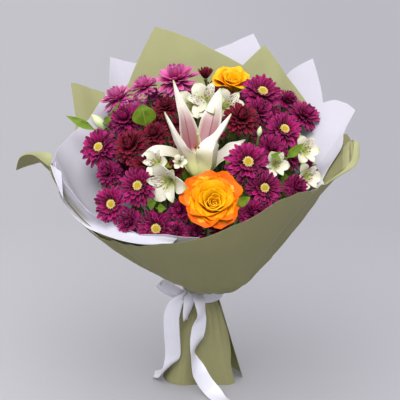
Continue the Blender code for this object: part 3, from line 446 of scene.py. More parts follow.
def rose_material(name, heart, face, lip):
    """Velvety rose petal: golden in the heart, warmer outwards, with a red-orange lip."""
    material, add = start_material(name, Roughness=0.5, Subsurface_Weight=0.15,
                                   Subsurface_Scale=0.002, Specular_IOR_Level=0.2)
    own = petal_map(add)
    tone = add("Attribute", out="Fac", attribute_name="tone")
    # nine veins, 4 to 5 mm apart, across a petal about 40 mm wide
    veins = add("TexNoise", add("Mapping", own["uv"], named={"Scale": (9, 1.5, 1)}), 1.0)
    rim = add("Math", own["side"], 0.35, operation="MULTIPLY")
    rim = add("Math", own["along"], rim, operation="ADD")
    rim = add("Math", rim, add("Math", veins, 0.16, operation="MULTIPLY"), operation="ADD")
    blush = add("ValToRGB", rim, stops=((0.97, "#000000"), (1.0, "#FFFFFF")))
    blush = add("Math", blush, tone, operation="MULTIPLY")
    base = add("Mix", tone, heart, face, data_type="RGBA")
    base = add("Mix", blush, base, lip, data_type="RGBA")
    return end_material(material, base, veins, 0.0002)


def alstroemeria_material(name, streaked):
    """White petal with a green tip; the two upper inner petals carry dark dashes."""
    material, add = start_material(name, Roughness=0.45, Subsurface_Weight=0.15,
                                   Subsurface_Scale=0.0015)
    uv = add("UVMap")
    along = add("SeparateXYZ", uv, out="Y")
    base = add("ValToRGB", along, stops=(
        (0.0, "#8FA63C"), (0.28, "#D2D088"), (0.52, "#E4DFCC"), (0.84, "#E1DCC8"), (1.0, "#9DB45A")))
    # sixteen veins, just over 1 mm apart, across a petal about 18 mm wide
    veins = add("TexNoise", add("Mapping", uv, named={"Scale": (16, 2.2, 1)}), 1.0)
    soft = add("Math", veins, 0.22, operation="MULTIPLY")
    base = add("Mix", soft, base, "#D5D6C0", data_type="RGBA")
    if streaked:
        # dashes about 1 mm wide and 4 mm long
        dash = add("TexNoise", add("Mapping", uv, named={"Scale": (13, 5, 1)}), 1.4)
        mark = add("Math", dash, 0.56, operation="GREATER_THAN")
        inner = add("Math", along, 0.82, operation="LESS_THAN")
        mark = add("Math", add("Math", mark, inner, operation="MULTIPLY"), 0.85, operation="MULTIPLY")
        base = add("Mix", mark, base, "#5B2A2C", data_type="RGBA")
    return end_material(material, base, veins, 0.0002)


def lily_material():
    """Waxy cream tepal: a rose pink blush beside the midrib and a green-yellow throat."""
    material, add = start_material("lily_white", Roughness=0.42, Subsurface_Weight=0.2,
                                   Subsurface_Scale=0.002)
    own = petal_map(add)
    tone = add("Attribute", out="Fac", attribute_name="tone")
    base = add("ValToRGB", own["along"], stops=(
        (0.0, "#A9B457"), (0.18, "#C8CC7C"), (0.36, "#D0D098"), (0.5, "#DDD8C0"), (0.6, "#E2DCD0"),
        (0.9, "#E4DED2"), (1.0, "#C2C48E")))
    near = add("Math", add("Math", 0.5, own["side"], operation="SUBTRACT"), 7.0, operation="MULTIPLY")
    near = add("Math", add("Math", near, 0.0, operation="MAXIMUM"), 1.0, operation="MINIMUM")
    low = add("ValToRGB", own["along"], stops=(
        (0.32, "#000000"), (0.4, "#FFFFFF"), (0.57, "#E0E0E0"), (0.72, "#000000")))
    blush = add("Math", add("Math", near, low, operation="MULTIPLY"), tone, operation="MULTIPLY")
    base = add("Mix", blush, base, "#9E4E68", data_type="RGBA")
    rib = add("Math", own["side"], 0.035, operation="LESS_THAN")
    rib = add("Math", rib, blush, operation="MULTIPLY")
    base = add("Mix", rib, base, "#7E3848", data_type="RGBA")
    # 22 veins, 1.4 mm apart, across a tepal about 30 mm wide
    veins = add("TexNoise", add("Mapping", own["uv"], named={"Scale": (22, 1.5, 1)}), 1.0)
    pale = add("Math", veins, 0.12, operation="MULTIPLY")
    base = add("Mix", pale, base, "#C9CBA6", data_type="RGBA")
    return end_material(material, base, veins, 0.0003)


def plain_material(name, low, high, rough, scale=900.0):
    """A small plant part in one colour with a fine grain, 1 mm unless a scale is given."""
    material, add = start_material(name, Roughness=rough)
    grain = add("TexNoise", add("TexCoord", out="Object"), scale)
    base = add("Mix", grain, low, high, data_type="RGBA")
    return end_material(material, base, grain, 0.0001)


def smooth(value):
    value = max(0.0, min(1.0, value))
    return value * value * (3 - 2 * value)


def table(places, values, where):
    """Read a list of values given at rising places, straight between them."""
    for i in range(len(places) - 1):
        if where <= places[i + 1]:
            share = (where - places[i]) / (places[i + 1] - places[i])
            return values[i] + (values[i + 1] - values[i]) * max(0.0, share)
    return values[-1]


def through(points, steps):
    """Points on a smooth curve through the given ones, steps for each stretch."""
    made = []
    for i in range(len(points) - 1):
        before = points[max(i - 1, 0)]
        a, b = points[i], points[i + 1]
        after = points[min(i + 2, len(points) - 1)]
        for k in range(steps):
            t = k / steps
            made.append(0.5 * (2 * a + (b - before) * t + (2 * before - 5 * a + 4 * b - after) * t ** 2
                               + (3 * a - before - 3 * b + after) * t ** 3))
    made.append(points[-1].copy())
    return made


def frame_of(axis, twist=0.0):
    """A turn that takes +Z to the axis and keeps +X to the right."""
    up = Vector(axis).normalized()
    side = Vector((1, 0, 0))
    side = (side - up * side.dot(up)).normalized()
    turn = Matrix((side, up.cross(side), up)).transposed()
    return turn @ Matrix.Rotation(twist, 3, "Z")


def ring_at(turn, out=1.0, height=0.0):
    """A place or direction round the upright axis: turn in radians from +X."""
    return Vector((out * math.cos(turn), out * math.sin(turn), height))


def put(place, turn, size):
    """A matrix that gives a shape its size, turns it and sets it at a place."""
    return Matrix.Translation(place * MM) @ turn.to_4x4() @ Matrix.Diagonal((*size, 1))


def stand(place, inner, along, size):
    """A matrix that stands a petal at a place: its inner face one way, its tip another."""
    along = along.normalized()
    inner = (inner - along * inner.dot(along)).normalized()
    return put(place, Matrix((inner.cross(along), inner, along)).transposed(), size)


def only(thing):
    """Select one object and make it the active one."""
    bpy.ops.object.select_all(action="DESELECT")
    thing.select_set(True)
    bpy.context.view_layer.objects.active = thing


def keep(thing, kind, **settings):
    """Give a piece a modifier and apply it."""
    only(thing)
    modifier = thing.modifiers.new(kind.lower(), kind)
    for setting, value in settings.items():
        setattr(modifier, setting, value)
    bpy.ops.object.modifier_apply(modifier=modifier.name)


def give_tone(thing, tone):
    """Write a piece's own shade of its colour on all its points."""
    mesh = thing.data
    layer = mesh.attributes.get("tone") or mesh.attributes.new("tone", "FLOAT", "POINT")
    layer.data.foreach_set("value", [tone] * len(mesh.vertices))


def copy_to(thing, matrix, tone=0.5):
    """A copy with its own mesh, put in place."""
    twin = thing.copy()
    twin.data = thing.data.copy()
    twin.data.transform(matrix)
    twin.hide_render = False
    bpy.context.scene.collection.objects.link(twin)
    give_tone(twin, tone)
    return twin


def gather(name, parts, angle=50):
    """Join parts into one named piece, shaded smooth."""
    bpy.ops.object.select_all(action="DESELECT")
    for part in parts:
        part.select_set(True)
    bpy.context.view_layer.objects.active = parts[0]
    if len(parts) > 1:
        bpy.ops.object.join()
    piece = bpy.context.view_layer.objects.active
    piece.name = name
    piece.data.name = name
    bpy.ops.object.shade_smooth_by_angle(angle=math.radians(angle))
    return piece


def pick_rows(mesh, columns, first, last):
    """Select the rows of points from first to last of a grid in edit mode."""
    bm = bmesh.from_edit_mesh(mesh)
    for vert in bm.verts:
        vert.select = first <= vert.index // (columns + 1) <= last
    bm.select_flush_mode()
    bmesh.update_edit_mesh(mesh)


def cut_petal(name, material, width, outline, turns, cup, columns, thickness):
    """A petal one long, standing on the origin with its inner face to +Y.

    The outline gives its width row by row as shares of the widest; turns bend it row by
    row, inwards if positive; cup curls its two sides towards the inner face.
    """
    rows = len(outline) - 1
    bpy.ops.object.select_all(action="DESELECT")
    bpy.ops.mesh.primitive_grid_add(x_subdivisions=columns, y_subdivisions=rows, size=1,
                                    location=(0, 0, 0.5), rotation=(math.pi / 2, 0, 0))
    petal = bpy.context.object
    petal.name = name
    bpy.ops.object.transform_apply()
    bpy.ops.object.mode_set(mode="EDIT")
    bpy.ops.mesh.select_mode(type="VERT")
    for row, share in enumerate(outline):
        pick_rows(petal.data, columns, row, row)
        bpy.ops.transform.resize(value=(share * width, 1, 1), center_override=(0, 0, row / rows))
    bpy.ops.object.mode_set(mode="OBJECT")
    if cup:
        keep(petal, "SIMPLE_DEFORM", deform_method="BEND", deform_axis="Z", angle=math.radians(cup))
    only(petal)
    bpy.ops.object.mode_set(mode="EDIT")
    bpy.ops.mesh.select_mode(type="VERT")
    for row, angle in enumerate(turns):
        if not angle:
            continue
        bm = bmesh.from_edit_mesh(petal.data)
        bm.verts.ensure_lookup_table()
        pivot = bm.verts[row * (columns + 1) + columns // 2].co.copy()
        pick_rows(petal.data, columns, row + 1, rows)
        bpy.ops.transform.rotate(value=math.radians(angle), orient_axis="X", orient_type="GLOBAL",
                                 center_override=pivot)
    bpy.ops.object.mode_set(mode="OBJECT")
    petal.data.materials.append(material)
    keep(petal, "SOLIDIFY", thickness=thickness, offset=0)
    give_tone(petal, 0.5)
    petal.hide_render = True
    patterns.append(petal)
    return petal


def loft(name, rows, materials, thickness):
    """A thin sheet through rows of points; each row is a list from its left to its right.

    The first material is for the side that faces along left to right crossed with up.
    """
    bm = bmesh.new()
    layer = bm.loops.layers.uv.new("UVMap")
    made = [[bm.verts.new(point * MM) for point in row] for row in rows]
    across = len(rows[0]) - 1
    for k, (low, high) in enumerate(zip(made, made[1:])):
        for i in range(across):
            face = bm.faces.new((low[i], low[i + 1], high[i + 1], high[i]))
            corners = ((i, k), (i + 1, k), (i + 1, k + 1), (i, k + 1))
            for loop, (u, v) in zip(face.loops, corners):
                loop[layer].uv = (u / across, v / (len(rows) - 1))
    mesh = bpy.data.meshes.new(name)
    bm.to_mesh(mesh)
    bm.free()
    for material in materials:
        mesh.materials.append(material)
    thing = bpy.data.objects.new(name, mesh)
    bpy.context.scene.collection.objects.link(thing)
    keep(thing, "SOLIDIFY", thickness=thickness * MM, offset=0, material_offset=len(materials) - 1)
    return thing


def tube(name, points, radii, sides, material):
    """A round stem along points, with a radius at each, as a closed mesh."""
    curve = bpy.data.curves.new(name, "CURVE")
    curve.dimensions = "3D"
    curve.bevel_depth = MM
    curve.bevel_resolution = (sides - 4) // 2
    curve.use_fill_caps = True
    spline = curve.splines.new("POLY")
    spline.points.add(len(points) - 1)
    for knot, point, radius in zip(spline.points, points, radii):
        knot.co = (*(Vector(point) * MM), 1)
        knot.radius = radius
    thing = bpy.data.objects.new(name, curve)
    bpy.context.scene.collection.objects.link(thing)
    only(thing)
    bpy.ops.object.convert(target="MESH")
    thing = bpy.context.object
    bpy.ops.object.mode_set(mode="EDIT")
    bpy.ops.mesh.select_all(action="SELECT")
    bpy.ops.mesh.remove_doubles(threshold=0.00001)
    bpy.ops.mesh.normals_make_consistent(inside=False)
    bpy.ops.object.mode_set(mode="OBJECT")
    thing.data.materials.clear()
    thing.data.materials.append(material)
    give_tone(thing, 0.5)
    return thing


def finish_piece(piece, slot, *nodes):
    """Let a piece ride on the bouquet and stand for its solids; its slot is not used."""
    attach(piece, "root")
    if nodes:
        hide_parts(*nodes)
    return piece


# Stage: camera, floor and lights.
def add_sun(name, energy, spread, way):
    """A far lamp as soft as a wide box: spread in degrees, way the direction it shines."""
    light = bpy.data.lights.new(name, "SUN")
    light.energy = energy
    light.angle = math.radians(spread)
    lamp = bpy.data.objects.new(name, light)
    bpy.context.scene.collection.objects.link(lamp)
    lamp.rotation_euler = Vector(way).to_track_quat("-Z", "Y").to_euler()
    return lamp


def set_stage():
    scene = bpy.context.scene
    scene.view_settings.view_transform = "Standard"
    camera = bpy.data.cameras.new("camera")
    camera.lens = LENS
    camera.sensor_width = 36
    eye = bpy.data.objects.new("camera", camera)
    scene.collection.objects.link(eye)
    eye.location = AIM + VIEWER * DISTANCE
    eye.rotation_euler = (-VIEWER).to_track_quat("-Z", "Y").to_euler()
    scene.camera = eye

    bpy.ops.object.select_all(action="DESELECT")
    bpy.ops.mesh.primitive_plane_add(size=200, location=(0, 0, -0.0002))
    floor = bpy.context.object
    floor.name = "floor"
    # studio backdrop: matte, with painted light: a little darker from left to right over 0.8 m,
    # as the light comes from the left, and darker from near to far, lighter in front of the bouquet
    material, add = start_material("studio_floor", Roughness=0.9, Specular_IOR_Level=0.1)
    parts = add("SeparateXYZ", add("TexCoord", out="Object")).node.outputs
    side = add("MapRange", parts["X"], -0.4, 0.4)
    away = add("MapRange", parts["Y"], 0.0, 0.7)
    near = add("Mix", side, *FLOOR_NEAR, data_type="RGBA")
    far = add("Mix", side, *FLOOR_FAR, data_type="RGBA")
    floor.data.materials.append(end_material(material, add("Mix", away, near, far, data_type="RGBA")))

    world = bpy.data.worlds.new("studio")
    scene.world = world
    world.use_nodes = True
    backdrop = world.node_tree.nodes["Background"]
    backdrop.inputs["Color"].default_value = colour("#E4E3EA")
    backdrop.inputs["Strength"].default_value = WORLD_LIGHT

    add_sun("overhead", OVERHEAD_LIGHT, 75, (0.12, 0.42, -1))
    front = add_sun("front", FRONT_LIGHT, 30, (0.0, 0.7, -0.85))
    below = add_sun("floor_fill", FLOOR_LIGHT, 90, (0, 0, -1))
    # the front lamp lights the bouquet alone and the fill the floor alone, without shadows,
    # so the floor stays as even as a large studio's
    for lamp, groups, state in (
            (front, ("receiver_collection",), "EXCLUDE"),
            (below, ("receiver_collection", "blocker_collection"), "INCLUDE")):
        for group in groups:
            linked = bpy.data.collections.new(lamp.name + "_" + group)
            linked.objects.link(floor)
            linked.collection_objects[0].light_linking.link_state = state
            setattr(lamp.light_linking, group, linked)


# Papers.
def lean(direction, distance):
    """How far the wall leans from upright, in radians, at a place on it."""
    sector, share = divmod(direction % 360, 45)
    low, high = (table(LEAN_AT, LEANS[(int(sector) + step) * 45 % 360], distance) for step in (0, 1))
    return math.radians(low + (high - low) * smooth(share / 45))


def drift(direction, distance):
    """How far all the papers swell, sink and crease together, so that no two of them cross."""
    round_it = ring_at(math.radians(direction))
    rise = smooth(distance / 110)
    swell = noise.noise(round_it * 1.7 + Vector((0, 0, distance / 150))) * 5.0
    fold = 0.0
    for middle, slant, half, height in CREASES:
        away = abs((direction - middle - slant * distance / 100 + 180) % 360 - 180)
        fold += height * max(0.0, 1 - away / half)
    wave = (direction * 23 / 360 + 0.35 * noise.noise(round_it * 3)) % 1.0
    pleat = (abs(wave - 0.5) * 4 - 1) * 1.3
    pleat *= smooth(distance / 14) * (1 - smooth((distance - 30) / 110))
    front = max(0.0, math.cos(math.radians(direction - 262)))
    belly = BELLY * front ** 1.5 * smooth(distance / 16) * (1 - smooth((distance - 24) / 60))
    return rise * swell + smooth(distance / 160) * fold + pleat + belly


def wall_point(direction, distance, depth):
    """A place on the wrap's wall, depth outside its innermost face."""
    steps = max(1, round(distance / WALL_STEP))
    out = TIE_RADIUS
    height = TIE_TOP
    for i in range(steps):
        angle = lean(direction, distance * (i + 0.5) / steps)
        out += math.sin(angle) * distance / steps
        height += math.cos(angle) * distance / steps
    out += depth * math.cos(angle)
    height -= depth * math.sin(angle)
    return ring_at(math.radians(direction), out, height)


def layer_depth(layer, distance):
    step = TIE_STEP + (LAYER_STEP - TIE_STEP) * smooth(distance / SPREAD_OVER)
    return layer * step + PAPER_THICK


def sleeve_point(direction, height, depth):
    """A place on the sleeve below the tie, which widens to the foot's ellipse."""
    drop = (TIE_FOOT - height) / TIE_FOOT
    tie = TIE_RADIUS + depth
    opened = max(drop, 0.0) ** SLEEVE_FLARE
    apart = FOOT_LAYERS * depth
    wide = tie + (FOOT_HALF_WIDTH + apart - tie) * opened
    deep = tie + (FOOT_HALF_DEPTH + apart - tie) * opened
    turn = math.radians(direction)
    gather_in = math.sin(turn * 19) * 0.9 * smooth(drop / 0.1) * (1 - smooth((drop - 0.2) / 0.6))
    wave = noise.noise(ring_at(turn, 2.2, drop)) * 2.0 * drop
    fold = sum(rise * max(0.0, 1 - abs(direction % 360 - middle) / half)
               for middle, half, rise in SLEEVE_CREASES) * smooth(drop / 0.3)
    wide += gather_in + wave + fold
    deep += gather_in + wave + fold
    # the front is pressed flat, so that the foot has two corners there
    front = max(math.sin(turn), -1 + 0.2 * smooth(drop / 0.7))
    return Vector((wide * math.cos(turn), deep * front, height))


def paper_lines(edge):
    """Directions of the lines of points up a paper, each with the height of its edge."""
    directions, tops = zip(*edge)
    lines = []
    for low, high in zip(directions, directions[1:]):
        steps = max(1, round((high - low) / PAPER_COLUMN))
        lines += [low + (high - low) * k / steps for k in range(steps)]
    lines.append(directions[-1])
    return [(line, table(directions, tops, line)) for line in lines]


def paper_line(spec, direction, top, first, last):
    """The points of one line up a paper, from its lower edge to its upper edge."""
    near_tie = direction
    depth = layer_depth(spec["layer"], 0)
    points = []
    if "sleeve" in spec:
        low, high = spec["sleeve"]
        share = (direction - first) / (last - first)
        near_tie = low + (high - low) * share
        for k in range(SLEEVE_ROWS + 1):
            drop = 1 - k / SLEEVE_ROWS
            swing = spec.get("swing", 0) * share ** 2 * math.sin(math.pi * min(1.0, drop / 0.76))
            points.append(sleeve_point(near_tie + swing, TIE_FOOT * k / SLEEVE_ROWS, depth))
    else:
        points.append(sleeve_point(direction, TIE_FOOT, depth))
    for k in range(WALL_ROWS + 1):
        distance = top * k / WALL_ROWS
        here = near_tie + (direction - near_tie) * smooth(distance / FLAT_SLEEVE)
        depth = layer_depth(spec["layer"], distance) + drift(here, distance)
        points.append(wall_point(here, distance, depth))
    return points


def leave_wall(spec, direction):
    """Two places just inside a paper below its edge, where a turned-out rim begins."""
    top = table(*zip(*spec["edge"]), direction)
    places = []
    for distance in (top - 16, top - 4):
        depth = layer_depth(spec["layer"], distance) + drift(direction, distance)
        places.append(wall_point(direction, distance, depth - 0.6))
    return places


def make_flap(spec, lines, skins):
    """A folded corner or rim: each line of places runs across the fold."""
    rows = []
    for line in lines:
        start = [] if isinstance(line[0], tuple) else leave_wall(spec, line[0])
        rows.append(start + [Vector(place) for place in line if isinstance(place, tuple)])
    columns = [through(column, 4) for column in zip(*rows)]
    rows = [through(row, 4) for row in zip(*columns)]
    return loft("flap", rows, skins, PAPER_THICK)


def make_paper(name, spec):
    """One sheet of wrap, from its lower edge to its cut upper edge, with its folds."""
    edge = spec["edge"]
    lines = [paper_line(spec, place, top, edge[0][0], edge[-1][0])
             for place, top in paper_lines(edge)]
    kind = "green_paper" if name.startswith("green") else "white_paper"
    # the green paper's inner side is paler, partly its own second tone and partly painted light; the right
    # wing takes the darker colour on both faces, as painted shade where the white paper shadows it
    pale = "green_inner_lit" if kind == "green_paper" else kind
    inner = kind if name == "green_paper_right" else pale
    parts = [loft(name + "_sheet", list(zip(*lines)), (finishes[kind], finishes[inner]), PAPER_THICK)]
    for number, lines in enumerate(FLAPS.get(name, ())):
        skin = kind if number else pale
        parts.append(make_flap(spec, lines, (finishes[skin],)))
    paper = gather(name + "_sheet", parts, 60)
    finish_piece(paper, kind, name)
    return paper


# Ribbon: the band just outside the papers' layers, and the knot's place and half sizes.
BAND_RADIUS = TIE_RADIUS + 4 * TIE_STEP + 0.7 + 0.35 + 0.9
BAND_HEIGHT = 134
KNOT_AT = Vector((-17, -31.5, 139))
KNOT_SIZE = (10.5, 5.2, 7)
KNOT_TURN = 245
SATIN_THICK = 0.3
# The strips of ribbon: width, steps of its curve for each stretch of the route, how far the
# two ends are cut slanting, flat length in metres, how it is held, and its route as places
# with the direction across the ribbon.
STRIPS = (
    ("ribbon_loop", 13, 8, (0, 0), 0.088, "folded", (
        ((-24, -34, 139), (0, 0.3, 1)), ((-38, -36, 148), (0.3, 0.1, 1)),
        ((-51, -35, 156), (0.5, 0.1, 1)), ((-60, -33, 159), (0.6, -0.3, 0.7)),
        ((-62, -31, 153), (0.3, -0.5, 0.6)), ((-54, -31, 146), (-0.1, -0.4, 1)),
        ((-40, -33, 141), (-0.1, -0.3, 1)), ((-24, -34, 137), (0, -0.1, 1)))),
    ("ribbon_pleat", 15, 5, (0, 6), 0.038, "hung", (
        ((-20, -35, 141), (1, 0, 0.2)), ((-20, -39, 130), (1, 0.2, 0.2)),
        ((-22, -40, 118), (0.8, 0.5, 0.3)), ((-24, -40, 106), (0.4, 0.9, 0.3)))),
    ("ribbon_tail_left", 22, 7, (0, 5), 0.158, "hung", (
        ((-31, -37, 144), (1, 0.1, 0.5)), ((-39, -41, 134), (1, 0.1, 0.4)),
        ((-44, -42, 114), (1, 0, 0.1)), ((-44, -40, 88), (1, 0, 0)),
        ((-43, -37, 66), (1, 0, 0)), ((-43, -35, 48), (1, 0, 0.1)),
        ((-47, -34, 34), (0.9, 0.1, 0.4)), ((-54, -28, 22), (0.6, 0.5, 0.5)),
        ((-63, -12, 9), (0.3, 0.9, 0.2)), ((-71, 1, 2.2), (0.3, 0.95, 0)))),
    ("ribbon_tail_middle", 22, 7, (0, 6), 0.186, "hung", (
        ((-8, -38, 144), (0.6, 0.8, 0)), ((-4, -45, 133), (0.6, 0.8, 0)),
        ((-2, -47, 118), (0.5, 0.85, 0)), ((-5, -49, 102), (0.85, 0.5, 0)),
        ((-8, -50, 84), (0.85, 0.5, -0.1)), ((-12, -51, 69), (0.5, 0.85, 0)),
        ((-14, -53, 58), (0.2, 0.97, 0)), ((-11, -55, 46), (0.4, 0.85, 0.3)),
        ((-4, -58, 31), (0.75, 0.3, 0.6)), ((4, -62, 18), (0.78, 0.1, 0.6)),
        ((14, -69, 8), (0.85, 0.2, 0.45)), ((22, -79, 2.6), (0.88, 0.45, 0.05)),
        ((31, -93, 2.2), (0.85, 0.5, 0)))),
)


def ribbon_strip(name, route, width, steps, ends):
    """A length of ribbon along a route; each place has the direction across the ribbon."""
    middles = through([Vector(place) for place, across in route], steps)
    acrosses = through([Vector(across).normalized() for place, across in route], steps)
    rows = []
    for k, (middle, across) in enumerate(zip(middles, acrosses)):
        before = middles[max(k - 1, 0)]
        after = middles[min(k + 1, len(middles) - 1)]
        along = (after - before).normalized()
        face = along.cross(across.normalized())
        row = []
        for i in range(7):
            u = i / 3 - 1
            crown = 1.0 * (1 - u * u) + 0.35 * noise.noise(Vector((u * 2.5, k * 0.3, width)))
            slant = ends[0] * u if k == 0 else ends[1] * u if k == len(middles) - 1 else 0
            row.append(middle + across.normalized() * u * width / 2 + face * crown + along * slant)
        rows.append(row)
    strip = loft(name, rows, [finishes["white_satin"]], SATIN_THICK)
    return finish_piece(gather(name, [strip], 60), "white_satin", "ribbon")


def make_ribbon():
    """The satin ribbon: band, knot, loop, pleat and the two tails that reach the table."""
    rows = []
    for k in range(9):
        row = []
        for i in range(73):
            turn = 2 * math.pi * i / 72
            knotward = math.exp(-((turn - math.radians(KNOT_TURN)) / 0.5) ** 2)
            fold = 0.7 * math.sin(k * 2.1 + 1.5 * math.sin(turn * 2)) * (0.4 + knotward)
            height = BAND_HEIGHT + (2 * k - 8) * (1 - 0.3 * knotward) + 1.5 * math.sin(turn + 1)
            row.append(ring_at(turn, BAND_RADIUS + fold, height))
        rows.append(row)
    band = loft("ribbon_band", rows, [finishes["white_satin"]], SATIN_THICK)
    keep(band, "WELD", merge_threshold=0.00005)
    finish_piece(gather("ribbon_band", [band], 60), "white_satin", "ribbon")

    bpy.ops.object.select_all(action="DESELECT")
    bpy.ops.mesh.primitive_uv_sphere_add(segments=28, ring_count=18, radius=1)
    knot = bpy.context.object
    for vert in knot.data.vertices:
        fold = 1 + 0.09 * math.sin(7 * vert.co.x + 4 * vert.co.z) + 0.08 * noise.noise(vert.co * 2.3)
        vert.co = Vector([place * half for place, half in zip(vert.co, KNOT_SIZE)]) * fold * MM
    knot.data.transform(Matrix.Translation(KNOT_AT * MM))
    knot.data.materials.append(finishes["white_satin"])
    finish_piece(gather("ribbon_knot", [knot], 60), "white_satin", "ribbon")

    for name, width, steps, ends, length, held, route in STRIPS:
        strip = ribbon_strip(name, route, width, steps, ends)


# Mums.
RAYS = {
    # width as a share of the bloom's radius, outline from root to tip, turns, cup
    "outer": (0.245, (0.40, 0.55, 0.76, 0.92, 1.0, 0.88, 0.36), (0, -2, -3, -3, 2, 6), 80),
    "middle": (0.25, (0.40, 0.55, 0.76, 0.92, 1.0, 0.88, 0.36), (0, 0, 2, 3, 4, 6), 90),
    "inner": (0.22, (0.46, 0.60, 0.78, 0.94, 1.0, 0.84, 0.40), (0, 4, 7, 8, 8, 8), 120),
}
RINGS = {
    # count of petals, slope, length and root as shares of the bloom's radius, kind
    "open": ((16, -10, 0.82, 0.20, "outer"), (17, 3, 0.80, 0.20, "outer"),
             (15, 17, 0.66, 0.20, "middle"), (12, 33, 0.44, 0.21, "middle")),
    "double": ((17, -14, 0.86, 0.14, "outer"), (18, 0, 0.86, 0.14, "outer"),
               (17, 14, 0.80, 0.12, "middle"), (15, 28, 0.70, 0.11, "middle"),
               (12, 43, 0.60, 0.09, "inner"), (9, 58, 0.52, 0.07, "inner"),
               (6, 74, 0.44, 0.04, "inner")),
    "side": ((14, -4, 0.86, 0.14, "outer"), (13, 12, 0.80, 0.13, "outer"),
             (11, 30, 0.68, 0.12, "middle"), (8, 52, 0.52, 0.08, "inner"),
             (5, 74, 0.42, 0.04, "inner")),
    "bud": ((9, 52, 0.95, 0.14, "middle"), (8, 66, 0.92, 0.10, "middle"),
            (6, 80, 0.86, 0.06, "inner")),
}
TRIALS = ((0, 1.0), (10, 0.98), (20, 0.95), (32, 0.9), (44, 0.85), (56, 0.75), (60, 0.6), (60, 0.45))
SIDE_DEPTH = 13
SIDE_PLACES = ((-31, -84, 282), (-110, -8, 318))    # gaps that the photograph shows filled
SIDE_ROOM = 4.2
SIDE_WALL = 15              # the least room to the papers, more where the white paper shows
SIDE_WALL_LEFT = 34
SIDE_LEFT = -134            # no side bloom further left, low in the wrap
SIDE_TRIES = 900
PAPER_HEIGHT = 330          # below this a side bloom needs a paper beside it
EVEN_TURN = 137.508         # degrees round from one try to the next, which spreads them evenly
CROWDING = 1.2              # how far petals of neighbours may pass the plane between them
FLORETS = 70
SPIRAL = 137.5              # degrees round from one floret or rose petal to the next


def bloom_axis(spec):
    """The way a bloom faces: given, or outwards and turned to the viewer."""
    if "axis" in spec:
        return Vector(spec["axis"]).normalized()
    out = (Vector(spec["at"]) - FOCUS).normalized()
    return (out + VIEWER * spec["turn"]).normalized()


def raised(flat, pitch):
    """A direction at a pitch above a level one, and the one square to it that leans back."""
    return (flat * math.cos(pitch) + UP * math.sin(pitch),
            UP * math.cos(pitch) - flat * math.sin(pitch))


def cell_planes(name):
    """The planes between a mum and each near one, with the direction out through them."""
    here = Vector(MUMS[name]["at"])
    planes = []
    for other, spec in MUMS.items():
        way = Vector(spec["at"]) - here
        far = way.length
        if other == name or far > 1.3 * (MUMS[name]["radius"] + spec["radius"]):
            continue
        share = (far * far + MUMS[name]["radius"] ** 2 - spec["radius"] ** 2) / (2 * far)
        planes.append((here + way.normalized() * share, way.normalized()))
    return planes


def ray_fits(root, tip, planes, solid):
    """Whether a petal from root to tip is clear of the near mums and of all solid pieces."""
    if any((tip - place).dot(normal) > CROWDING for place, normal in planes):
        return False
    way = tip - root
    return solid.ray_cast(root, way.normalized(), way.length + 1.0)[0] is None


def mum_rays(spec, turn, planes, solid, rays):
    """The petals of one mum, ring by ring, raised or shortened where a neighbour presses."""
    radius = spec["radius"]
    at = Vector(spec["at"])
    parts = []
    for number, (count, slope, length, foot, kind) in enumerate(RINGS[spec["form"]]):
        start = chance.uniform(0, 2 * math.pi)
        for k in range(count):
            around = start + 2 * math.pi * k / count + math.radians(chance.uniform(-6, 6))
            own_slope = slope + chance.uniform(-7, 7)
            own_length = radius * length * chance.uniform(0.88, 1.06)
            roll = math.radians(chance.uniform(-20, 20))
            tone = chance.random()
            flat = ring_at(around)
            root = flat * foot * radius + UP * 0.04 * radius * number
            for steeper, shorter in TRIALS:
                along, inner = raised(flat, math.radians(min(own_slope + steeper, 88)))
                reach = own_length * shorter
                if ray_fits(at + turn @ root, at + turn @ (root + along * reach), planes, solid):
                    break
            else:
                continue
            inner = inner * math.cos(roll) + inner.cross(along) * math.sin(roll)
            broad = radius * MM * chance.uniform(0.88, 1.1)
            place = stand(at + turn @ root, turn @ inner, turn @ along, (broad, broad, reach * MM))
            parts.append(copy_to(rays[kind], place, tone))
    return parts


def make_disc(spec, turn):
    """The eye of an open mum: a low dome set all over with tube florets in a spiral.

    The outer florets are open and cream, the inner ones closed and yellow-green.
    """
    radius = 0.205 * spec["radius"]
    at = Vector(spec["at"]) + turn @ Vector((0, 0, 0.10 * spec["radius"]))
    bpy.ops.object.select_all(action="DESELECT")
    bpy.ops.mesh.primitive_uv_sphere_add(segments=16, ring_count=10, radius=1)
    dome = bpy.context.object
    dome.data.transform(put(at, turn, (radius * MM, radius * MM, 0.6 * radius * MM)))
    dome.data.materials.append(finishes["mum_disc"])
    give_tone(dome, 0.5)
    parts = [dome]
    for k in range(FLORETS):
        share = math.sqrt((k + 0.5) / FLORETS)
        up = 0.6 * radius * math.sqrt(max(0.0, 1 - share * share * 0.95))
        root = ring_at(k * math.radians(SPIRAL), share * radius, up)
        size = radius * (0.10 + 0.05 * share) * MM
        opened = share > 0.68
        along = Vector((root.x, root.y, up * 1.6 + 1)).normalized()
        place = put(at + turn @ root, turn @ frame_of(along), (size, size, size * (2.4 if opened else 1.6)))
        parts.append(copy_to(opened_floret if opened else floret, place))
    return parts


def calyx(spec, turn, size=0.2, drop=0.17):
    """The green cup of bracts that carries a bloom."""
    radius = spec["radius"]
    at = Vector(spec["at"]) - turn @ Vector((0, 0, drop * radius))
    bpy.ops.object.select_all(action="DESELECT")
    bpy.ops.mesh.primitive_cone_add(vertices=16, radius1=0.45, radius2=1.0, depth=1.1)
    cup = bpy.context.object
    keep(cup, "BEVEL", width=0.2, segments=2)
    cup.data.transform(put(at, turn, (size * radius * MM, size * radius * MM, 0.16 * radius * MM)))
    cup.data.materials.append(finishes["stem_green"])
    give_tone(cup, 0.5)
    return cup


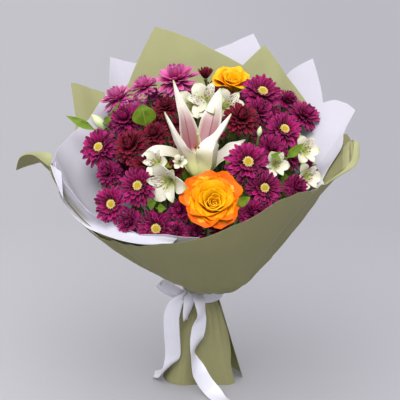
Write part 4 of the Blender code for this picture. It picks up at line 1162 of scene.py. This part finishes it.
def make_mum(name, spec, solid):
    turn = frame_of(bloom_axis(spec), twist=0.7 * sum(spec["at"]))
    parts = mum_rays(spec, turn, cell_planes(name), solid, rays_of[spec["tint"]])
    if spec["form"] == "open":
        parts += make_disc(spec, turn)
    parts.append(calyx(spec, turn))
    if "neck" in spec:
        foot = Vector(spec["at"]) - turn.col[2] * 0.2 * spec["radius"]
        route = through([spec["neck"], spec["neck"] * 0.4 + foot * 0.6 - Vector((0, 0, 6)), foot], 5)
        parts.append(tube("branch", route, [BRANCH * 0.8] * 11, 6, finishes["stem_green"]))
    nodes = () if "neck" in spec else (name,)
    return finish_piece(gather(name + "_bloom", parts), "mum_" + spec["tint"], *nodes)


def shell_distance(way, heads):
    """How far from the focus the blooms lie in a direction, or nothing beyond their edge."""
    total = 0.0
    weights = 0.0
    nearest = 9.0
    for place in heads:
        line = place - FOCUS
        angle = way.angle(line)
        nearest = min(nearest, angle)
        weight = 1 / (angle + 0.05) ** 3
        total += weight * line.length
        weights += weight
    return total / weights if nearest < math.radians(17) else None


def add_side_blooms(solid):
    """Fill the gaps between the named blooms with the sprays' smaller side blooms.

    Places are tried evenly all round, a little deeper than the named blooms, and each
    time the one with the most room takes a bloom, until no gap is worth one.
    """
    heads = [(Vector(spec["at"]), spec["radius"]) for spec in (*MUMS.values(), *ROSES.values())]
    heads += [(Vector(spec["at"]), spec["radius"] * 0.8) for spec in ALL_ALSTROS.values()]
    lily = Vector(LILY_FOOT)
    heads += [(lily + Vector(LILY_AXIS) * step, size) for step, size in ((0, 8), (30, 14), (60, 26))]
    middles = [place for place, radius in heads]
    tries = []
    for k in range(SIDE_TRIES):
        height = 1 - 1.25 * (k + 0.5) / SIDE_TRIES
        way = ring_at(k * math.radians(EVEN_TURN), math.sqrt(1 - height * height), height)
        far = shell_distance(way, middles)
        if far is None:
            continue
        place = FOCUS + way * (far - SIDE_DEPTH)
        outward = Vector((place.x, place.y, 0)).normalized()
        wall = solid.ray_cast(place, outward, 60)[3]
        room = SIDE_WALL_LEFT if place.x < -60 and place.y < 60 else SIDE_WALL
        low = place.z < PAPER_HEIGHT
        if wall is None and low or wall is not None and wall < room or place.x < SIDE_LEFT and low:
            continue
        if solid.ray_cast(place, outward - Vector((0, 0, 0.8)), 12)[0] is not None:
            continue
        tries.append(place)
    heads += [(view_point(*knot[:3]), 15) for tepal in TEPALS for knot in tepal]
    heads += [(view_point(5, 80, near), 22) for near in (-15, 5, 25)]
    tries += [Vector(place) for place in SIDE_PLACES]
    named = list(MUMS.values())
    number = 0
    while tries:
        rooms = [min((place - at).length - 0.85 * radius for at, radius in heads) for place in tries]
        room = max(rooms)
        if room < SIDE_ROOM:
            break
        place = tries[rooms.index(room)]
        number += 1
        size = max(14.0, min(21.0, room + 8.0))
        near = min(named, key=lambda spec: (Vector(spec["at"]) - place).length)
        fork = min(forks, key=lambda other: (other - place).length)
        MUMS["mum_side_%02d" % number] = dict(
            at=place, radius=size, turn=0.45, spray=near["spray"], tint=near["tint"], form="side",
            neck=fork)
        heads.append((place, size))


# Roses.
ROSE_OUTLINE = (0.30, 0.50, 0.68, 0.82, 0.92, 0.98, 1.0, 1.0, 0.98, 0.93, 0.84, 0.68, 0.38)
ROSE_KINDS = (
    # width and length in radii, turns from root to tip, share of the way out
    dict(width=0.46, length=0.72, turns=(0, 0, 0, 0, 2, 3, 3, 3, 3, 3, 2, 2), away=0.08),
    dict(width=0.70, length=0.80, turns=(0, 0, 1, 2, 2, 2, 2, 1, 0, -1, -3, -5), away=0.17),
    dict(width=0.92, length=0.90, turns=(0, 1, 3, 3, 3, 2, 1, 0, -2, -5, -8, -10), away=0.29),
    dict(width=1.08, length=1.00, turns=(0, 3, 4, 4, 3, 1, 0, -3, -6, -10, -14, -16), away=0.43),
    dict(width=1.20, length=1.06, turns=(0, 4, 5, 4, 2, 0, -3, -7, -11, -15, -18, -20), away=0.58),
)

ROSE_HEART = Vector((0.14, -0.24, 0))   # the heart sits low and to the right, in radii
ROSE_FOOT = -0.56                       # and its petals grow this far below the middle


def make_rose(name, spec):
    """A rose: petals wound in a spiral from a tight heart to the open outer ones."""
    radius = spec["radius"]
    at = Vector(spec["at"])
    turn = frame_of(spec["axis"])
    kinds = []
    for kind in ROSE_KINDS:
        cup = min(260, math.degrees(kind["width"] / kind["away"] * 0.9))
        kinds.append(cut_petal("rose_petal", finishes[spec["finish"]], kind["width"], ROSE_OUTLINE,
                               kind["turns"], cup, 10, 0.018))
    parts = []

    def wind(out, around, opening, foot, stage, size, tone):
        """Add a petal, out a share of the way, opened from upright by an angle in radians."""
        outward = ring_at(around)
        along = UP * math.cos(opening) + outward * math.sin(opening)
        inner = -outward * math.cos(opening) + UP * math.sin(opening)
        root = outward * radius * (0.04 + 0.10 * out) + UP * radius * foot
        root += ROSE_HEART * radius * (1 - out)
        size *= radius * MM * ROSE_KINDS[stage]["length"]
        place = stand(at + turn @ root, turn @ inner, turn @ along, (size, size, size))
        parts.append(copy_to(kinds[stage], place, tone))

    for k in range(spec["petals"]):
        out = k / (spec["petals"] - 1)
        around = k * math.radians(SPIRAL) + math.radians(chance.uniform(-6, 6))
        opening = math.radians(3 + spec["opening"] * out ** 1.25 + chance.uniform(-2, 2))
        foot = ROSE_FOOT + 0.02 * chance.random()
        stage = min(int(out * len(kinds)), len(kinds) - 1)
        wind(out, around, opening, foot, stage, chance.uniform(0.96, 1.04), smooth((out - 0.45) / 0.5))
    around, opening, size = spec["lobe"]
    wind(1, math.radians(around), math.radians(opening), ROSE_FOOT, -1, size, 0.9)
    for k in range(5):
        outward = ring_at(2 * math.pi * k / 5)
        root = Vector((0, 0, ROSE_FOOT * radius)) + outward * 0.08 * radius
        along = outward * 0.9 - Vector((0, 0, 0.45))
        place = stand(at + turn @ root, turn @ UP, turn @ along,
                      (0.3 * radius * MM, 0.3 * radius * MM, 0.6 * radius * MM))
        parts.append(copy_to(cut_outs["sepal"], place))
    parts.append(calyx(spec, turn, size=0.16, drop=0.57))
    return finish_piece(gather(name + "_bloom", parts, 60), spec["finish"], name)


# Lily.
def view_point(right, up, near):
    """A place from the lily's foot, as steps across the view, up it and towards it."""
    up_view = Vector((0, math.sin(math.radians(ELEVATION)), math.cos(math.radians(ELEVATION))))
    return Vector(LILY_FOOT) + Vector((right, 0, 0)) + up_view * up + VIEWER * near


def lily_tepal(turn, direction, tepal, depth, blush):
    """One tepal: up the trumpet from its foot, then out, with a keel and a waved edge."""
    foot = Vector(LILY_FOOT)
    axis = turn.col[2]
    out = turn @ ring_at(direction)
    across = axis.cross(out)
    knots = [(foot + axis * 2 + out * 1.5, across, Vector((2.4, 0, 0)), out),
             (foot + axis * 26 + out * 12, across, Vector((9, 0, 0)), out)]
    before = knots[-1][0]
    for right, up, near, width in tepal:
        place = view_point(right, up, near)
        along = (place - before).normalized()
        level = (across - along * across.dot(along)).normalized()
        knots.append((place, level, Vector((max(width, 1.6) / 2, 0, 0)), level.cross(along)))
        before = place
    middles, levels, halves, keels = (through(column, 8) for column in zip(*knots))
    rows = []
    phase = chance.uniform(0, 6)
    for k, (middle, level, half, keel) in enumerate(zip(middles, levels, halves, keels)):
        share = k / (len(middles) - 1)
        wide = half.x * (1 + 0.10 * math.sin(math.pi * share))
        row = []
        for i in range(9):
            u = i / 4 - 1
            bow = keel * wide * depth * (1 - abs(u) ** 1.2)
            ruffle = keel * wide * 0.10 * abs(u) ** 3 * math.sin(share * 26 + phase + 2 * u)
            row.append(middle + level * wide * u + bow + ruffle * (share > 0.3))
        rows.append(row)
    blade = loft("tepal", rows, [finishes["lily_white"]], 0.8)
    give_tone(blade, blush)
    return blade


def make_lily():
    turn = frame_of(LILY_AXIS)
    parts = [lily_tepal(turn, math.radians(60 * (k + 1)), tepal, KEELS[k], BLUSHES[k])
             for k, tepal in enumerate(TEPALS)]
    foot = Vector(LILY_FOOT)
    axis = turn.col[2]
    parts.append(tube("lily_foot", (foot, foot + axis * 3, foot + axis * 9), (4.0, 5.2, 4.6), 14,
                      finishes["lily_white"]))
    finish_piece(gather("lily_bloom", parts, 60), "lily_white", "lily")


def make_lily_stamens():
    """Six curved filaments with hinged anthers, and the pistil with its three-lobed tip."""
    turn = frame_of(LILY_AXIS)
    axis = turn.col[2]
    seat = Vector(LILY_FOOT) + axis * 9.4
    parts = []
    for k in range(7):
        out = turn @ ring_at(math.radians(60 * k + 30))
        spread = 0.0 if k == 6 else 1.0
        length = 76 if k == 6 else 56
        top = seat + axis * length + out * 4.5 * spread
        middle = seat + axis * length * 0.55 + out * 1.6 * spread
        points = through([seat + out * 0.6 * spread, middle, top], 6)
        radii = [1.0 - 0.35 * i / (len(points) - 1) for i in range(len(points))]
        parts.append(tube("filament", points, radii, 8, finishes["filament_green"]))
        if spread:
            lie = (axis.cross(out) * 0.3 + axis + out * 0.4).normalized() * 4.5
            points = through([top - lie, top + out * 0.7, top + lie], 4)
            parts.append(tube("anther", points, (0.6, 1.0, 1.3, 1.4, 1.4, 1.4, 1.3, 1.0, 0.6), 8,
                              finishes["stamen_orange"]))
        else:
            for lobe in range(3):
                way = turn @ ring_at(lobe * 2.094)
                parts.append(tube("stigma", (top - axis, top + way * 2.4 + axis * 0.6), (1.2, 0.9), 8,
                                  finishes["filament_green"]))
    finish_piece(gather("lily_stamens_fine", parts, 60), "stamen_orange", "lily_stamens")


# Alstroemerias, and the petals and leaves that are cut out alike.
ALSTRO_OUTER = (0.20, 0.32, 0.60, 0.86, 1.0, 0.98, 0.72, 0.16)
ALSTRO_INNER = (0.22, 0.34, 0.62, 0.90, 1.0, 0.90, 0.60, 0.14)
CUT_OUTS = {
    # finish, width, outline from root to tip, turns, cup, columns and thickness
    "alstro_outer": ("alstroemeria_white", 0.72, ALSTRO_OUTER, (0, 6, 4, -2, -10, -14, -14),
                     60, 4, 0.025),
    "alstro_inner": ("alstroemeria_white", 0.46, ALSTRO_INNER, (0, 4, 2, -4, -10, -14, -14),
                     70, 4, 0.025),
    "alstro_streaked": ("alstroemeria_streaked", 0.46, ALSTRO_INNER, (0, 4, 2, -4, -10, -14, -14),
                        70, 4, 0.025),
    "sepal": ("stem_green", 0.5, (0.5, 1.0, 0.9, 0.6, 0.15), (0, -8, -8, -8), 40, 2, 0.03),
    "leaf_lobed": ("leaf_green", 1.0, (0.06, 0.10, 0.55, 0.40, 0.85, 0.55, 1.0, 0.62, 0.70, 0.30, 0.04),
                   (0, 4, 4, 2, 0, -3, -5, -6, -6, -6), 40, 4, 0.03),
    "leaf_round": ("leaf_green", 1.0, (0.06, 0.07, 0.5, 0.86, 1.0, 0.98, 0.8, 0.46, 0.05),
                   (0, 0, 5, 4, 2, -3, -6, -6), 36, 6, 0.02),
    "leaf_long": ("leaf_green", 1.0, (0.12, 0.14, 0.6, 0.92, 1.0, 0.9, 0.66, 0.36, 0.05),
                  (0, 4, 4, 0, -4, -6, -8, -8), 50, 4, 0.03),
}
def make_alstroemeria(name, spec):
    """Three broad outer petals, three narrow inner ones, and six stamens."""
    radius = spec["radius"]
    at = Vector(spec["at"])
    turn = frame_of(spec["axis"])
    parts = []
    for k in range(6):
        outer = k % 2 == 0
        outward = ring_at(math.radians(60 * k + chance.uniform(-5, 5)))
        rise = math.radians((34 if outer else 46) + chance.uniform(-5, 5))
        along, inner = raised(outward, rise)
        root = UP * -0.45 * radius + outward * 0.04 * radius
        size = radius * MM * 1.12 * chance.uniform(0.95, 1.05)
        pattern = cut_outs["alstro_outer" if outer else "alstro_streaked" if k in (1, 3) else "alstro_inner"]
        place = stand(at + turn @ root, turn @ inner, turn @ along, (size, size, size))
        parts.append(copy_to(pattern, place, chance.random()))
    for k in range(6):
        outward = ring_at(math.radians(60 * k + 20))
        top = UP * 0.25 * radius + outward * 0.16 * radius
        points = [at + turn @ point for point in (
            UP * -0.42 * radius, outward * 0.05 * radius, top)]
        parts.append(tube("stamen", points, (0.45, 0.4, 0.35), 6, finishes["filament_green"]))
        tip = at + turn @ top
        ahead = turn @ (UP * 1.4 + outward * 0.6)
        parts.append(tube("anther", (tip - ahead, tip + ahead), (0.8, 0.7), 6, finishes["pollen_grey"]))
    parts.append(calyx(spec, turn, size=0.14, drop=0.5))
    nodes = (name,) if name in ALSTROS else ()
    finish_piece(gather(name + "_bloom", parts, 60), "alstroemeria_white", *nodes)


# Stems and leaves.
def place_leaf(pattern, root, tip, width):
    """A leaf from its root to its tip, with its upper face turned to the viewer."""
    along = Vector(tip) - Vector(root)
    size = (width * MM, width * MM * 0.8, along.length * MM)
    return copy_to(pattern, stand(Vector(root), VIEWER, along, size), chance.random())


def heads_of(spray):
    """The places under a spray's blooms where its branches end, with their directions."""
    heads = []
    for blooms, drop, cup in ((MUMS, 0.2, 2.4), (ALL_ALSTROS, 0.5, 1.8), (ROSES, 0.6, 4.2)):
        for spec in blooms.values():
            if spec["spray"] == spray:
                axis = bloom_axis(spec)
                heads.append((Vector(spec["at"]) - axis * drop * spec["radius"], axis, cup))
    return heads


def ring_point(slot, height):
    """Where a stem of the spiral is at a height at or below the tie."""
    share = max(0.0, 1 - height / TIE_FOOT)
    radius = STEM_RING + (STEM_FOOT_RING - STEM_RING) * share
    return ring_at(math.radians(slot - STEM_TWIST * share), radius, height)


def branch_leaves(route):
    """Two lobed leaves on a branch, one to each side, held up under the blooms."""
    made = []
    for place, side in ((len(route) * 4 // 10, 1), (len(route) * 6 // 10, -1)):
        root = route[place]
        along = (route[place + 1] - root).normalized()
        across = along.cross(VIEWER).normalized() * side
        tip = root + (across + along * chance.uniform(0.5, 1.0)).normalized() * chance.uniform(26, 36)
        made.append(place_leaf(cut_outs["leaf_lobed"], root, tip, 20))
    return made


def make_spray(number, spray):
    """A stem from the table through the tie, its branches, leaves and bud."""
    slot = FIRST_SLOT + 360 * number / len(SPRAYS)
    heads = heads_of(spray)
    middle = sum((place for place, axis, cup in heads), Vector()) / len(heads)
    above = ring_point(slot, STEM_TOP_OF_TIE)
    fork = above + (middle - above) * FORK_SHARE + Vector(FORK_MOVES.get(spray, (0, 0, -3)))
    forks.append(fork)
    green = finishes["stem_green"]
    points = [ring_point(slot, CUT_TILT), ring_point(slot, TIE_FOOT * 0.5), ring_point(slot, TIE_FOOT),
              above, fork]
    size = STEM_RADIUS
    parts = [tube("stem", points, (size, size, size, size, size * 0.8), 12, green)]
    for place, axis, cup in heads:
        neck = place - axis * 16
        half = fork + (neck - fork) * 0.5 + Vector((0, 0, 4))
        route = through([fork + (above - fork).normalized() * 1.5, half, neck, place], 4)
        radii = [BRANCH] * (len(route) - 1) + [cup]
        parts.append(tube("branch", route, radii, 8, green))
        parts += branch_leaves(route)
    if spray in BUDS:
        place, size = BUDS[spray]
        place = Vector(place)
        axis = (place - fork).normalized()
        half = fork + (place - fork) * 0.5 + Vector((0, 0, 4))
        parts.append(tube("bud_stalk", through([fork, half, place], 5), [BRANCH] * 11, 8, green))
        route = [place + axis * size * 2 * k / 8 for k in range(9)]
        swell = [max(0.5, size * 0.52 * math.sin(math.pi * (0.12 + 0.86 * k / 8))) for k in range(9)]
        parts.append(tube("bud", route, swell, 12, finishes["bud_white"]))
    for owner, root, tip, width in LEAVES:
        if owner == spray:
            pattern = cut_outs["leaf_round" if width > 20 else "leaf_long"]
            parts.append(place_leaf(pattern, root, tip, width))
            parts.append(tube("stalk", through([fork, fork + (Vector(root) - fork) * 0.5, Vector(root)], 3),
                              [BRANCH * 0.8] * 7, 8, green))
    finish_piece(gather("stem_" + spray + "_fine", parts), "stem_green", "stem_" + spray)


def make_lily_stem():
    axis = Vector(LILY_AXIS).normalized()
    top = Vector(LILY_FOOT)
    rest = ring_at(math.radians(FIRST_SLOT + 360 * SPRAYS.index("front") / len(SPRAYS))) * LILY_LEAN
    points = [Vector(), Vector((0, 0, STRAIGHT_FOOT)), rest + Vector((0, 0, TIE_FOOT)),
              rest + Vector((0, 0, TIE_TOP)), top - axis * 40, top]
    stem = tube("stem_lily_fine", points, (5.0, 5.0, 5.0, 4.8, 3.6, 4.0), 14, finishes["stem_green"])
    finish_piece(gather("stem_lily_fine", [stem]), "stem_green", "stem_lily")


def solid_tree(things):
    """All the faces of the given objects, in millimetres, for testing petals against."""
    points = []
    faces = []
    for thing in things:
        start = len(points)
        points += [vert.co / MM for vert in thing.data.vertices]
        faces += [[start + i for i in poly.vertices] for poly in thing.data.polygons]
    return BVHTree.FromPolygons(points, faces)


set_stage()
patterns = []
finishes = {
    "green_paper": paper_material("green_paper_outer_side", "#8C8A62", "#82805A", "#AAA880"),
    # the inner side's paler green: partly the paper's own second tone, partly painted light on the inner
    # faces
    "green_inner_lit": paper_material("green_paper_inner_side_lit", "#A8A87C", "#9E9F72", "#C0C196"),
    "white_paper": paper_material("white_wrapping_paper", "#D2D0DA", "#C6C3CF", "#E4E3EA"),
    "white_satin": satin_material(),
    "stem_green": stem_material(),
    "leaf_green": leaf_material(),
    # mum ramps: painted shade near black at the root, the petal's own colour, a painted lit tip; then the
    # painted edge highlight and the random tones
    "magenta": petal_material("mum_magenta", (
        (0.0, "#240010"), (0.22, "#6C0036"), (0.55, "#AA045E"), (1.0, "#D6288A")), "#E478B0",
        ("#78646E", "#FFFFFF")),
    "pink": petal_material("mum_pink", (
        (0.0, "#8A0A52"), (0.25, "#D02C94"), (0.6, "#F058B0"), (1.0, "#FC8ECC")), "#FFB0DA",
        ("#C8B0BE", "#FFFFFF")),
    "burgundy": petal_material("mum_burgundy", (
        (0.0, "#200008"), (0.3, "#5A0418"), (0.65, "#8A0A2C"), (1.0, "#B4264A")), "#CC6A80",
        ("#948888", "#FFFFFF")),
    # a mum's eye: closed florets packed tight, with open cream ones round them, matte
    "mum_disc": plain_material("mum_disc", "#DDBE22", "#B8A828", 0.7),
    "mum_floret": plain_material("mum_floret", "#EFE0A8", "#DCC268", 0.7),
    "rose_orange": rose_material("rose_orange", "#FFC40C", "#FFAC08", "#F0680E"),
    "rose_yellow": rose_material("rose_yellow", "#FABE0A", "#F79A0C", "#FAC010"),
    "lily_white": lily_material(),
    # fleshy, fairly smooth filaments and pistils
    "filament_green": plain_material("filament_green", "#C9CE7C", "#AEB85C", 0.5),
    # anthers of the lily and the alstroemerias, dusty and dull with pollen grains of 0.4 mm
    "stamen_orange": plain_material("stamen_orange", "#C8743C", "#A8582C", 0.9, 2500.0),
    "pollen_grey": plain_material("pollen_grey", "#6B6458", "#8E8672", 0.9, 2500.0),
    # a closed bud: smooth cream skin in green patches of about 8 mm
    "bud_white": plain_material("bud_white", "#E9ECCB", "#B4C77A", 0.5, 120.0),
    "alstroemeria_white": alstroemeria_material("alstroemeria_white", False),
    "alstroemeria_streaked": alstroemeria_material("alstroemeria_streaked", True),
}

bpy.ops.mesh.primitive_ico_sphere_add(subdivisions=1, radius=1)
floret = bpy.context.object
floret.name = "floret_pattern"
floret.data.materials.append(finishes["mum_disc"])
floret.hide_render = True
patterns.append(floret)
opened_floret = copy_to(floret, Matrix())
opened_floret.data.materials[0] = finishes["mum_floret"]
opened_floret.hide_render = True
patterns.append(opened_floret)
rays_of = {
    tint: {
        kind: cut_petal("ray", finishes[tint], width, outline, turns, cup, 2, 0.018)
        for kind, (width, outline, turns, cup) in RAYS.items()
    }
    for tint in ("magenta", "pink", "burgundy")
}
cut_outs = {
    name: cut_petal(name, finishes[finish], *shape)
    for name, (finish, *shape) in CUT_OUTS.items()
}

papers = [make_paper(name, spec) for name, spec in PAPERS.items()]
make_ribbon()
make_lily_stem()
forks = []
for number, spray in enumerate(SPRAYS):
    make_spray(number, spray)
make_lily()
make_lily_stamens()
for name, spec in ROSES.items():
    make_rose(name, spec)
for name, spec in ALL_ALSTROS.items():
    make_alstroemeria(name, spec)
add_side_blooms(solid_tree(papers))
flowers = [bpy.data.objects[name + "_bloom"] for name in ("lily", *ROSES, *ALL_ALSTROS)]
solid = solid_tree(papers + flowers)
for name, spec in MUMS.items():
    make_mum(name, spec, solid)
for pattern in patterns:
    bpy.data.objects.remove(pattern, do_unlink=True)
